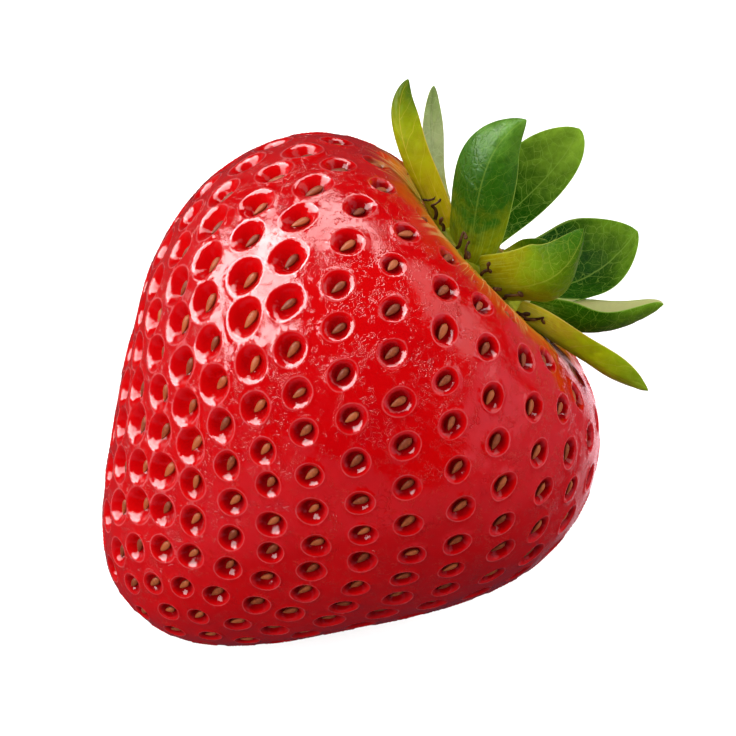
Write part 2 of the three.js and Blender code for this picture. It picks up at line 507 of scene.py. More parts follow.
@dataclass(frozen=True)
class SkinFinish:
    """The glossy red skin, pale orange round the calyx, with painted shade in its dimple wells, a painted
    highlight on the ridge round each dimple and painted glints along its creases.
    """

    ripe: Colour = shade(218, 3, 10)
    bright: Colour = shade(226, 5, 8)
    # painted shade: the dark red laid into the dimple wells
    painted_well_shade: Colour = shade(132, 0, 8)
    # painted highlight: the pale pink of the ridge round each dimple
    ridge_highlight: Colour = shade(244, 116, 118)
    blush: Colour = shade(226, 70, 24)
    orange: Colour = shade(222, 128, 34)
    green: Colour = shade(184, 162, 44)
    fibre: Colour = shade(244, 190, 116)
    # painted glints: the pale orange laid on the creases
    painted_glint: Colour = shade(238, 110, 84)
    gloss: float = 0.06

    def material(self, effects: Effects) -> bpy.types.Material:
        """The skin's material.

        Args:
            effects: The shared effects.

        Returns:
            The material.
        """
        skin = Surface("ripe skin")
        graph = skin.graph
        place = graph.place()
        share, neck = graph.read("share"), graph.read("neck")
        well, open_web = graph.rise(share, 0.95, 0.66), graph.rise(share, 1.0, 1.25)
        # painted highlight: a pale pink band on each dimple's ridge, ragged, and weaker on the side that
        # faces away from the light
        ridge_highlight = graph.sum("MULTIPLY", graph.rise(share, 0.98, 1.05), graph.rise(share, 1.13, 1.06))
        ragged = graph.noise(place, 700.0, 3.0, 0.6)
        blotches = graph.use(effects.mottle, {"Place": place, "Lumps": 130.0, "Spread": 0.16})
        colour = graph.blend(blotches.outputs[0], self.ripe, self.bright)
        ridge_highlight = graph.sum("MULTIPLY", ridge_highlight, graph.rise(ragged, 0.3, 0.65, 0.2, 0.7))
        ridge_highlight = graph.sum("MULTIPLY", ridge_highlight, graph.sum("MULTIPLY_ADD", graph.read("shady"), -0.4, 1.0))
        colour = graph.blend(ridge_highlight, colour, self.ridge_highlight)
        # painted shade: the wells are darkened towards the dark well colour, far more on the side that
        # faces away from the light
        depth = graph.sum("MULTIPLY_ADD", graph.read("shady"), 0.72, 0.04)
        colour = graph.blend(graph.sum("MULTIPLY", well, depth), colour, self.painted_well_shade)
        neck_edge = graph.sum("ADD", neck, graph.sum("MULTIPLY_ADD", ragged, 0.5, -0.25))
        colour = graph.blend(graph.rise(neck_edge, 0.12, 0.46), colour, self.blush)
        colour = graph.blend(graph.rise(neck_edge, 0.42, 0.76), colour, self.orange)
        colour = graph.blend(graph.rise(neck_edge, 0.84, 1.05), colour, self.green)
        reach = graph.sum("MULTIPLY", neck, 0.05)
        spoke = graph.add("ShaderNodeCombineXYZ", {0: graph.read("east"), 1: graph.read("north"), 2: reach})
        fibres = graph.use(
            effects.creases, {"Place": spoke.outputs[0], "Lines": 12.0, "Width": 0.06, "Cover": 0.56}
        ).outputs[0]
        fibres = graph.sum("MULTIPLY", fibres, graph.rise(neck, 0.03, 0.3))
        colour = graph.blend(graph.sum("MULTIPLY", fibres, 0.6), colour, self.fibre)

        creases = graph.use(
            effects.creases, {"Place": place, "Lines": 1900.0, "Width": 0.035, "Cover": 0.47}
        ).outputs[0]
        fine_creases = graph.use(
            effects.creases, {"Place": place, "Lines": 4200.0, "Width": 0.06, "Cover": 0.48}
        ).outputs[0]
        furrows = graph.use(
            effects.creases, {"Place": place, "Lines": 1500.0, "Width": 0.03, "Cover": 0.42}
        ).outputs[0]
        lines = graph.sum("ADD", creases, graph.sum("MULTIPLY", fine_creases, 0.6), clamp=True)
        flecks = graph.sum("MULTIPLY", lines, open_web)
        furrows = graph.sum("MULTIPLY", furrows, open_web)
        # painted glints: the creases, which are also real bumps, get a little pale orange colour
        colour = graph.blend(graph.sum("MULTIPLY", flecks, 0.14), colour, self.painted_glint)
        grain = graph.use(effects.grain, {"Place": place, "Cells": 7000.0}).outputs[0]
        normal = graph.relief(grain, 0.008 * MM)
        normal = graph.relief(flecks, 0.02 * MM, normal)
        normal = graph.relief(furrows, -0.03 * MM, normal)
        matt = graph.rise(neck, 0.15, 0.7, 0.0, 0.8)
        uneven = graph.rise(graph.noise(place, 500.0, 3.0), 0.3, 0.6, 0.9, 1.0)
        wax = graph.sum("MULTIPLY", uneven, graph.sum("SUBTRACT", 1.0, matt))
        wax = graph.sum("MULTIPLY", wax, graph.sum("MULTIPLY_ADD", well, -0.55, 1.0))
        skin.set(
            Base_Color=colour, Roughness=graph.rise(neck, 0.2, 0.8, 0.4, 0.55), Specular_IOR_Level=0.01,
            IOR=1.3, Subsurface_Weight=0.2, Subsurface_Radius=(1.0, 0.18, 0.1),
            Subsurface_Scale=0.8 * MM, Normal=normal,
            Coat_Weight=wax, Coat_Roughness=self.gloss, Coat_IOR=1.45, Coat_Normal=normal,
        )
        return skin.material


@dataclass(frozen=True)
class AcheneFinish:
    """The dry tan shell of an achene, browner along its edges."""

    light: Colour = shade(196, 104, 60)
    dark: Colour = shade(138, 64, 40)
    edge: Colour = shade(106, 34, 12)

    def material(self, effects: Effects) -> bpy.types.Material:
        """The achenes' material.

        Args:
            effects: The shared effects.

        Returns:
            The material.
        """
        shell = Surface("achene shell")
        graph = shell.graph
        place = graph.place()
        tone, rim = graph.read("tone"), graph.read("rim")
        streaks = graph.noise(place, 3500.0, 2.0, 0.6)
        mixed = graph.sum("MULTIPLY_ADD", streaks, 0.6, graph.sum("MULTIPLY", tone, 0.5))
        colour = graph.blend(graph.rise(mixed, 0.3, 0.85), self.light, self.dark)
        colour = graph.blend(graph.rise(rim, 0.35, 1.0), colour, self.edge)
        grain = graph.use(effects.grain, {"Place": place, "Cells": 12000.0}).outputs[0]
        shell.set(
            Base_Color=colour, Roughness=graph.rise(streaks, 0.3, 0.7, 0.36, 0.5), IOR=1.3,
            Specular_IOR_Level=0.25, Normal=graph.relief(grain, 0.012 * MM),
        )
        return shell.material


@dataclass(frozen=True)
class LeafFinish:
    """The colours of one leaf of the calyx, from its root to its tip."""

    blade: Colour
    tip: Colour
    root: Colour
    vein: Colour
    vein_strength: float = 0.5
    root_reach: float = 0.35
    tip_start: float = 0.6
    gloss: float = 0.36
    shine: float = 0.1
    net: float = 0.8
    net_cells: float = 900.0
    pairs: float = 5.0
    inside: Colour | None = None

    def material(self, name: str, effects: Effects) -> bpy.types.Material:
        """The leaf's material.

        Args:
            name: The leaf's name.
            effects: The shared effects.

        Returns:
            The material.
        """
        leaf = Surface(f"{name} blade")
        graph = leaf.graph
        place = graph.place()
        along, across = graph.read("along"), graph.read("across")
        wide = graph.sum("ABSOLUTE", across)
        blotches = graph.use(effects.mottle, {"Place": place, "Lumps": 260.0, "Spread": 0.2}).outputs[0]
        swing = graph.sum("MULTIPLY_ADD", blotches, 0.24, -0.12)
        height = graph.sum("ADD", along, swing)
        up_tip = graph.rise(graph.sum("MULTIPLY_ADD", swing, 0.5, along), self.tip_start, 1.0)
        colour = graph.blend(up_tip, self.blade, self.tip)
        reach = graph.sum("MULTIPLY_ADD", wide, -0.12, height)
        colour = graph.blend(graph.rise(reach, self.root_reach + 0.2, 0.02), colour, self.root)
        darker = graph.blend(1.0, colour, shade(196, 202, 186), "MULTIPLY")
        colour = graph.blend(blotches, darker, colour)
        grown = graph.add("ShaderNodeCombineXYZ", {0: graph.sum("MULTIPLY", across, 7.0), 1: along})
        streaks = graph.noise(grown.outputs[0], 3.0, 3.0, 0.6)
        near_root = graph.rise(along, 0.45, 0.05, 0.0, 0.6)
        streaks = graph.sum("MULTIPLY", graph.rise(streaks, 0.5, 0.62), near_root)
        colour = graph.blend(streaks, colour, self.vein)
        lines, net_cells = self.veins(graph, place, along, across, wide)
        colour = graph.blend(graph.sum("MULTIPLY", lines, self.vein_strength), colour, self.vein)
        margin = graph.rise(wide, 0.95, 1.0, 0.0, 0.8)
        colour = graph.blend(margin, colour, self.vein)
        if self.inside is not None:
            under = graph.rise(graph.read("upper"), 0.0, -0.4, 0.0, 0.85)
            colour = graph.blend(under, colour, self.inside)
        grain = graph.use(effects.grain, {"Place": place, "Cells": 5000.0}).outputs[0]
        normal = graph.relief(grain, 0.012 * MM)
        swollen = graph.rise(net_cells, 0.0, 0.3)
        normal = graph.relief(swollen, 0.022 * MM, normal)
        leaf.set(
            Base_Color=colour, Roughness=graph.rise(blotches, 0.0, 1.0, self.gloss, self.gloss + 0.12),
            Specular_IOR_Level=self.shine, IOR=1.3, Subsurface_Weight=0.15,
            Subsurface_Radius=(0.4, 1.0, 0.15),
            Subsurface_Scale=0.6 * MM, Normal=normal,
        )
        return leaf.material

    def veins(
        self, graph: Graph, place: object, along: object, across: object, wide: object
    ) -> tuple[bpy.types.NodeSocket, bpy.types.NodeSocket]:
        """The thin lines of the midrib, the side veins and the net between them.

        Args:
            graph: The material's graph.
            place: Where the net is read.
            along: The share of the length, from the root.
            across: The share of the half-width, with its side's sign.
            wide: The same share without its sign.

        Returns:
            The lines, from 0 to 1, and the distance from the net's nearest line.
        """
        wobble = graph.sum("MULTIPLY_ADD", graph.noise(place, 420.0, 2.0), 0.9, -0.45)
        course = graph.sum("MULTIPLY_ADD", wide, -0.24, along)
        course = graph.sum("MULTIPLY_ADD", course, self.pairs, wobble)
        course = graph.sum("MULTIPLY_ADD", graph.sum("GREATER_THAN", across, 0.0), 0.37, course)
        off = graph.sum("PINGPONG", course, 0.5)
        side = graph.rise(off, 0.022, 0.0)
        middle = graph.rise(wide, 0.028, 0.006)
        turned = graph.add("ShaderNodeVectorMath", {0: place}, operation="ADD")
        drift = graph.add("ShaderNodeTexNoise", {"Vector": place, "Scale": 700.0, "Detail": 2.0})
        shift = graph.add("ShaderNodeVectorMath", {0: drift.outputs["Color"]}, operation="SCALE")
        graph.feed(shift.inputs["Scale"], 0.001)
        graph.feed(turned.inputs[1], shift.outputs[0])
        cells = graph.add(
            "ShaderNodeTexVoronoi", {"Vector": turned.outputs[0], "Scale": self.net_cells},
            feature="DISTANCE_TO_EDGE",
        ).outputs["Distance"]
        net = graph.rise(cells, 0.026, 0.004, 0.0, self.net)
        finer = graph.add(
            "ShaderNodeTexVoronoi", {"Vector": turned.outputs[0], "Scale": 2.3 * self.net_cells},
            feature="DISTANCE_TO_EDGE",
        ).outputs["Distance"]
        net = graph.sum("MAXIMUM", net, graph.rise(finer, 0.045, 0.004, 0.0, 0.4 * self.net))
        lines = graph.sum("MAXIMUM", graph.sum("MAXIMUM", side, net), middle)
        return graph.sum("MULTIPLY", lines, graph.rise(along, 0.0, 0.12)), cells


@dataclass(frozen=True)
class StalkFinish:
    """The pale green disc and stub of the stalk, in soft blotches and brown where they are dry."""

    name: str
    green: Colour = shade(146, 156, 14)
    pale: Colour = shade(172, 172, 40)
    brown: Colour = shade(150, 116, 40)

    def material(self, effects: Effects) -> bpy.types.Material:
        """The disc's or the stub's material.

        Args:
            effects: The shared effects.

        Returns:
            The material.
        """
        stalk = Surface(self.name)
        graph = stalk.graph
        place = graph.place()
        dry = graph.read("dry")
        blotches = graph.use(effects.mottle, {"Place": place, "Lumps": 500.0, "Spread": 0.2}).outputs[0]
        colour = graph.blend(blotches, self.green, self.pale)
        edge = graph.sum("MULTIPLY_ADD", blotches, 0.3, dry)
        colour = graph.blend(graph.rise(edge, 0.5, 1.1), colour, self.brown)
        grain = graph.use(effects.grain, {"Place": place, "Cells": 4000.0}).outputs[0]
        stalk.set(
            Base_Color=colour, Roughness=graph.rise(blotches, 0.0, 1.0, 0.45, 0.62), IOR=1.2,
            Normal=graph.relief(grain, 0.02 * MM),
        )
        return stalk.material


@dataclass(frozen=True)
class StamenFinish:
    """The dried stamens, dark brown with paler, dusty blotches."""

    thread: Colour = shade(50, 26, 12)
    dust: Colour = shade(104, 66, 28)

    def material(self, effects: Effects) -> bpy.types.Material:
        """The stamens' material.

        Args:
            effects: The shared effects.

        Returns:
            The material.
        """
        dried = Surface("dried stamen")
        graph = dried.graph
        place = graph.place()
        blotches = graph.use(effects.mottle, {"Place": place, "Lumps": 900.0, "Spread": 0.12}).outputs[0]
        colour = graph.blend(graph.sum("MULTIPLY", blotches, 0.7), self.thread, self.dust)
        grain = graph.use(effects.grain, {"Place": place, "Cells": 9000.0}).outputs[0]
        dried.set(
            Base_Color=colour, Roughness=graph.rise(blotches, 0.0, 1.0, 0.5, 0.75), IOR=1.2,
            Normal=graph.relief(grain, 0.02 * MM),
        )
        return dried.material


@dataclass(frozen=True)
class FloorFinish:
    """The plain white table, and the painted reflection that stands for it in the berry's gloss: a painted
    shadow near the berry, painted shade behind it and a painted pool of light just beside it.
    """

    white: Colour = (0.88, 0.88, 0.88, 1.0)
    painted_shadow_near: Colour = (0.05, 0.02, 0.03, 1.0)
    open_table: Colour = (0.16, 0.095, 0.135, 1.0)
    painted_shade_behind: Colour = (0.02, 0.008, 0.01, 1.0)
    lit_side: Colour = (0.8, 0.5, 0.56, 1.0)

    def material(self) -> bpy.types.Material:
        """The table's material: white to the camera, with painted shade and a painted patch of light where
        it shows in the berry's gloss.
        """
        table = Surface("white table")
        graph = table.graph
        in_gloss = graph.add("ShaderNodeLightPath").outputs["Is Glossy Ray"]
        away = graph.add("ShaderNodeVectorMath", {0: graph.place()}, operation="LENGTH").outputs[1]
        # painted reflection: seen in the gloss the table is dim, with a painted shadow near the berry
        mirrored = graph.blend(graph.rise(away, 0.04, 0.085), self.painted_shadow_near, self.open_table)
        backwards = graph.add("ShaderNodeSeparateXYZ", {0: graph.place()}).outputs[1]
        # painted shade on the table behind the berry, seen only in the gloss
        mirrored = graph.blend(graph.rise(backwards, 0.0, 0.04), mirrored, self.painted_shade_behind)
        beside = graph.add(
            "ShaderNodeVectorMath", {0: graph.place(), 1: (0.03, 0.0, 0.0)}, operation="DISTANCE"
        ).outputs[1]
        # a painted pool of light on the table just beside the berry, seen only in the gloss
        mirrored = graph.blend(graph.rise(beside, 0.028, 0.01), mirrored, self.lit_side)
        colour = graph.blend(in_gloss, self.white, mirrored)
        table.set(Base_Color=colour, Roughness=0.9, Specular_IOR_Level=0.1)
        return table.material


# ---- The berry's own shape and how it lies -----------------------------------------------------


@dataclass
class FruitForm:
    """The smooth shape of the fruit: its radius as a series about its middle."""

    series: tuple[float, ...] = (20.6, 0, -0.15, -3.0, -0.4, -0.65, -0.1, -0.2)
    lean: tuple[float, ...] = (0.37, 0.3, 0.16)
    dip: float = -0.2

    def radius(self, polar: np.ndarray, turn: np.ndarray) -> np.ndarray:
        """The skin's distance from the fruit's middle.

        Args:
            polar: The angle from the calyx pole, in radians.
            turn: The turn about the axis, in radians.

        Returns:
            The distance at each pair of angles.
        """
        round_part = sum(size * np.cos(order * polar) for order, size in enumerate(self.series))
        side = np.sin(turn) * self.dip
        uneven = sum(
            (size * np.cos(turn) + side) * np.sin((order + 2) * polar)
            for order, size in enumerate(self.lean)
        )
        return round_part + uneven

    def point(self, polar: np.ndarray, turn: np.ndarray) -> np.ndarray:
        """Points of the skin, from the angles that radius() takes."""
        reach = self.radius(polar, turn)
        across = reach * np.sin(polar)
        return np.stack([across * np.cos(turn), across * np.sin(turn), reach * np.cos(polar)], axis=-1)

    def directions(self, polar: np.ndarray, turn: np.ndarray) -> tuple[np.ndarray, np.ndarray, np.ndarray]:
        """How the skin runs at some places.

        Args:
            polar: The angle from the calyx pole, in radians.
            turn: The turn about the axis, in radians.

        Returns:
            Unit vectors towards the tip, sideways and outwards.
        """
        step = 1e-4
        polar = np.clip(polar, 10 * step, np.pi - 10 * step)
        to_tip = unit(self.point(polar + step, turn) - self.point(polar - step, turn))
        sideways = unit(self.point(polar, turn + step) - self.point(polar, turn - step))
        outwards = unit(np.cross(to_tip, sideways))
        return to_tip, np.cross(outwards, to_tip), outwards

    @staticmethod
    def angles(points: np.ndarray) -> tuple[np.ndarray, np.ndarray]:
        """The polar angle and the turn, in radians, of the directions of some points."""
        ahead = unit(points)
        return np.arccos(np.clip(ahead[..., 2], -1, 1)), np.arctan2(ahead[..., 1], ahead[..., 0])

    def height(self, azimuth: np.ndarray, distance: np.ndarray) -> np.ndarray:
        """The skin's height inside the shoulder.

        Args:
            azimuth: The turn about the axis, in degrees.
            distance: The distance from the axis.

        Returns:
            The height at each place.
        """
        turn, distance = np.broadcast_arrays(np.radians(azimuth), np.asarray(distance, float))
        low, high = np.zeros(turn.shape), np.full(turn.shape, math.radians(45))
        for _ in range(40):
            middle = (low + high) / 2
            short = self.radius(middle, turn) * np.sin(middle) < distance
            low, high = np.where(short, middle, low), np.where(short, high, middle)
        return self.radius(low, turn) * np.cos(low)


@dataclass
class Lie:
    """How the berry lies in the row frame: its axis rises, and one side of its cone is under."""

    form: FruitForm
    axis_rise: float = 30.75
    under_azimuth: float = 240.6
    turn: np.ndarray = field(init=False)
    middle: np.ndarray = field(init=False)

    def __post_init__(self) -> None:
        """Work out the turn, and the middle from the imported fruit's box."""
        lean = Matrix.Rotation(math.radians(90 - self.axis_rise), 3, "Y")
        roll = Matrix.Rotation(-math.radians(self.under_azimuth), 3, "Z")
        self.turn = np.array(lean @ roll)
        polar, around = np.meshgrid(np.linspace(0, np.pi, 181), np.linspace(0, 2 * np.pi, 361))
        skin = self.form.point(polar, around).reshape(-1, 3) @ self.turn.T * MM
        low, high = (np.array(corner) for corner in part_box("fruit"))
        self.middle = ((low - skin.min(axis=0)) + (high - skin.max(axis=0))) / 2
        self.middle[2] = high[2] - skin[:, 2].max()

    def place(self, points: np.ndarray) -> np.ndarray:
        """Points of the berry's frame, in millimetres, in the row frame, in metres."""
        return points @ self.turn.T * MM + self.middle


# ---- Fruit and achenes -------------------------------------------------------------------------


@dataclass
class Dimples:
    """Where the achenes sit, in a golden-angle spiral from the calyx to the tip."""

    form: FruitForm
    count: int = 395
    first_turn: float = 20.0
    start: float = 6.6
    tip_crowding: float = 0.3
    jitter: float = 0.2
    sway: float = 6.0
    # the direction, in the berry's frame, of the side that faces the light: there the wells get the least
    # painted shade and the ridges the most painted highlight
    light_turn: float = 21.0
    light_rise: float = -7.0
    wide: float = 1.33
    long: float = 1.52
    depth: float = 0.96
    brink: float = 1.04
    foot: float = 0.43
    rim: float = 0.07
    wobble: float = 0.05
    seed: int = 11
    polar: np.ndarray = field(init=False)
    turn: np.ndarray = field(init=False)
    middle: np.ndarray = field(init=False)
    to_tip: np.ndarray = field(init=False)
    sideways: np.ndarray = field(init=False)
    outwards: np.ndarray = field(init=False)
    size: np.ndarray = field(init=False)
    deepness: np.ndarray = field(init=False)

    def __post_init__(self) -> None:
        """Spread the dimples over the skin and give each its own size, depth and lean."""
        draw = np.random.default_rng(self.seed)
        polar = np.linspace(0, np.pi, 4001)
        reach = self.form.radius(polar, np.full_like(polar, np.pi / 2))
        across, up = reach * np.sin(polar), reach * np.cos(polar)
        band = np.hypot(np.diff(across), np.diff(up)) * (across[1:] + across[:-1]) / 2
        band *= np.exp(-self.tip_crowding * up[1:] / 20)
        band[across[1:] < self.start] *= up[1:][across[1:] < self.start] < 0
        area = np.concatenate([[0], np.cumsum(band)])
        number = np.arange(self.count)
        wanted = (number + 0.5) / self.count * area[-1]
        self.polar = np.interp(wanted, area, polar)
        self.turn = np.radians(GOLDEN_ANGLE * number + self.first_turn)
        shift = draw.uniform(-self.jitter, self.jitter, (self.count, 2)) / 20
        self.polar = np.clip(self.polar + shift[:, 0], 0.02, np.pi - 0.02)
        self.turn = self.turn + shift[:, 1] / np.maximum(np.sin(self.polar), 0.15)
        self.middle = self.form.point(self.polar, self.turn)
        to_tip, sideways, self.outwards = self.form.directions(self.polar, self.turn)
        lean = np.radians(draw.normal(0, self.sway, self.count))[:, None]
        self.to_tip = to_tip * np.cos(lean) + sideways * np.sin(lean)
        self.sideways = sideways * np.cos(lean) - to_tip * np.sin(lean)
        from_axis = np.linalg.norm(self.middle[:, :2], axis=1)
        near_calyx = np.where(self.middle[:, 2] > 0, smooth_step(6.5, 10.5, from_axis), 1.0)
        near_tip = smooth_step(np.pi, math.radians(128), self.polar)
        self.size = draw.uniform(0.93, 1.07, self.count) * (0.66 + 0.34 * near_calyx)
        self.size *= 0.74 + 0.26 * near_tip
        shady = self.shady(self.outwards)
        self.size *= 1.12 - 0.3 * shady
        self.deepness = self.depth * self.size * draw.uniform(0.88, 1.12, self.count)
        self.deepness *= (0.64 + 0.36 * near_calyx) * (1 - 0.16 * shady)

    def shady(self, outwards: np.ndarray) -> np.ndarray:
        """How far places face away from the light, from 0 to 1: on that side the dimples are smaller and
        shallower, and the skin's material paints their wells darker and their ridge highlights weaker.

        Args:
            outwards: The places' outward directions in the berry's frame.

        Returns:
            The share at each place.
        """
        turn, rise = math.radians(self.light_turn), math.radians(self.light_rise)
        # a unit vector towards the side that faces the light
        pale = np.array([math.cos(turn) * math.cos(rise), math.sin(turn) * math.cos(rise), math.sin(rise)])
        return smooth_step(0.75, 0.35, outwards @ pale)

    def nearest(self, points: np.ndarray, several: int = 3) -> tuple[np.ndarray, np.ndarray]:
        """The nearest dimples to some points, and how far off they are.

        Args:
            points: Points on the smooth skin.
            several: How many dimples are wanted for each.

        Returns:
            The dimples' numbers, and the distances in shares of each dimple's own outline.
        """
        numbers = np.empty((len(points), several), int)
        shares = np.empty((len(points), several))
        squares = (self.middle ** 2).sum(axis=1)
        for start in range(0, len(points), 8000):
            part = points[start:start + 8000]
            gaps = squares - 2 * part @ self.middle.T
            found = np.argpartition(gaps, several, axis=1)[:, :several]
            away = part[:, None, :] - self.middle[found]
            down = (away * self.to_tip[found]).sum(axis=-1) / self.long
            side = (away * self.sideways[found]).sum(axis=-1) / self.wide
            numbers[start:start + 8000] = found
            shares[start:start + 8000] = np.hypot(down, side) / self.size[found]
        return numbers, shares

    def sink(self, points: np.ndarray) -> tuple[np.ndarray, np.ndarray]:
        """How deep the skin is sunk at some points.

        Args:
            points: Points on the smooth skin.

        Returns:
            The depth, and the distance from the nearest dimple in shares of its outline.
        """
        numbers, shares = self.nearest(points)
        shares = shares * (1 + self.wobble * ripple(points, 2.3, 6))[:, None]
        inside = np.clip((self.brink - shares) / (self.brink - self.foot), 0, 1)
        depths = self.deepness[numbers] * (7 * inside ** 2 - inside ** 14) / 6
        rim = self.rim * np.exp(-((shares - 1.07) / 0.065) ** 2).max(axis=1)
        depth = (depths ** 4).sum(axis=1) ** 0.25 - rim
        return depth, shares.min(axis=1)


@dataclass
class Fruit:
    """The fleshy fruit, with a dimple round every achene."""

    form: FruitForm
    lie: Lie
    dimples: Dimples
    rings: tuple[tuple[float, int], ...] = (
        (0.3, 6), (0.43, 9), (0.51, 11), (0.6, 12), (0.7, 14), (0.81, 17), (0.9, 20), (0.97, 23),
        (1.02, 26), (1.07, 26), (1.12, 24), (1.19, 18),
    )
    filler_gap: float = 0.35
    swell: float = 0.08
    fine_swell: float = 0.014
    cap: float = 3.0
    cap_points: int = 24

    def ring_points(self) -> np.ndarray:
        """Points in rings about every achene, less those that a neighbour's rings take over."""
        dimples = self.dimples
        kept = [dimples.middle]
        for share, around in self.rings:
            angle = (np.arange(around) + 0.5 * (around % 3)) * 2 * np.pi / around
            long = (share * dimples.long * dimples.size)[:, None] * np.cos(angle)
            wide = (share * dimples.wide * dimples.size)[:, None] * np.sin(angle)
            points = dimples.middle[:, None, :] + long[..., None] * dimples.to_tip[:, None, :]
            points = points + wide[..., None] * dimples.sideways[:, None, :]
            points = self.form.point(*self.form.angles(points)).reshape(-1, 3)
            owner = np.repeat(np.arange(dimples.count), around)
            numbers, shares = dimples.nearest(points)
            own = np.where(numbers == owner[:, None], shares, np.inf).min(axis=1)
            other = np.where(numbers == owner[:, None], np.inf, shares).min(axis=1)
            kept.append(points[own < other - 0.05])
        return np.concatenate(kept)

    def filler_points(self) -> np.ndarray:
        """Evenly spread points on the skin between the dimples' rings."""
        area = 4 * np.pi * 20.5 ** 2
        count = int(area / self.filler_gap ** 2)
        number = np.arange(count) + 0.5
        polar = np.arccos(1 - 2 * number / count)
        points = self.form.point(polar, np.radians(GOLDEN_ANGLE) * number)
        _, shares = self.dimples.nearest(points)
        return points[shares.min(axis=1) > self.rings[-1][0] + 0.12]

    def skin(self) -> tuple[np.ndarray, list[list[int]]]:
        """The smooth skin's points and triangles, closed at both poles."""
        points = np.concatenate([self.ring_points(), self.filler_points()])
        polar, _ = self.form.angles(points)
        points = points[polar > math.radians(self.cap + 0.7)]
        around = np.arange(self.cap_points) * 2 * np.pi / self.cap_points
        rim = self.form.point(np.full(self.cap_points, math.radians(self.cap)), around)
        pole = self.form.point(np.zeros(1), np.zeros(1))
        ahead = unit(np.concatenate([points, rim]))
        flat = ahead[:, :2] / (1 - ahead[:, 2:])
        corners = [Vector(corner) for corner in flat.tolist()]
        _, _, faces, *_ = geometry.delaunay_2d_cdt(corners, [], [], 0, 1e-9, False)
        first = len(points)
        top = first + self.cap_points
        for step in range(self.cap_points):
            faces.append([top, first + step, first + (step + 1) % self.cap_points])
        return np.concatenate([points, rim, pole]), faces

    def build(self, material: bpy.types.Material) -> bpy.types.Object:
        """Make the fruit.

        Args:
            material: The skin's material.

        Returns:
            The finished piece.
        """
        points, faces = self.skin()
        _, _, outwards = self.form.directions(*self.form.angles(points))
        depth, share = self.dimples.sink(points)
        swell = self.swell * ripple(points, 9.0, 3) + self.fine_swell * ripple(points, 3.2, 4)
        swell = swell * smooth_step(0.5, 1.3, share)
        from_axis = np.linalg.norm(points[:, :2], axis=1)
        up_there = points[:, 2] > 0
        under_calyx = np.where(up_there, smooth_step(5.5, 4.0, from_axis), 0.0)
        depth = (depth - swell) * (1 - under_calyx)
        placed = self.lie.place(points - outwards * depth[:, None])
        placed[:, 2] = np.maximum(placed[:, 2], 0.0)
        piece = new_piece("fruit_flesh", placed, faces)
        mark(piece, "share", np.minimum(share, 2.0))
        # the painted-shade share, which the skin's material reads to darken the wells and dim the ridge
        # highlights
        mark(piece, "shady", self.dimples.shady(outwards))
        mark(piece, "neck", np.where(up_there, smooth_step(15.0, 8.5, from_axis), 0.0))
        for name, part in (("east", 0), ("north", 1)):
            mark(piece, name, points[:, part] / np.maximum(from_axis, 1.0))
        close_up(piece)
        LOG.info("fruit: %d faces, %d dimples", len(piece.data.polygons), self.dimples.count)
        return finish_piece(piece, material, ["fruit"])


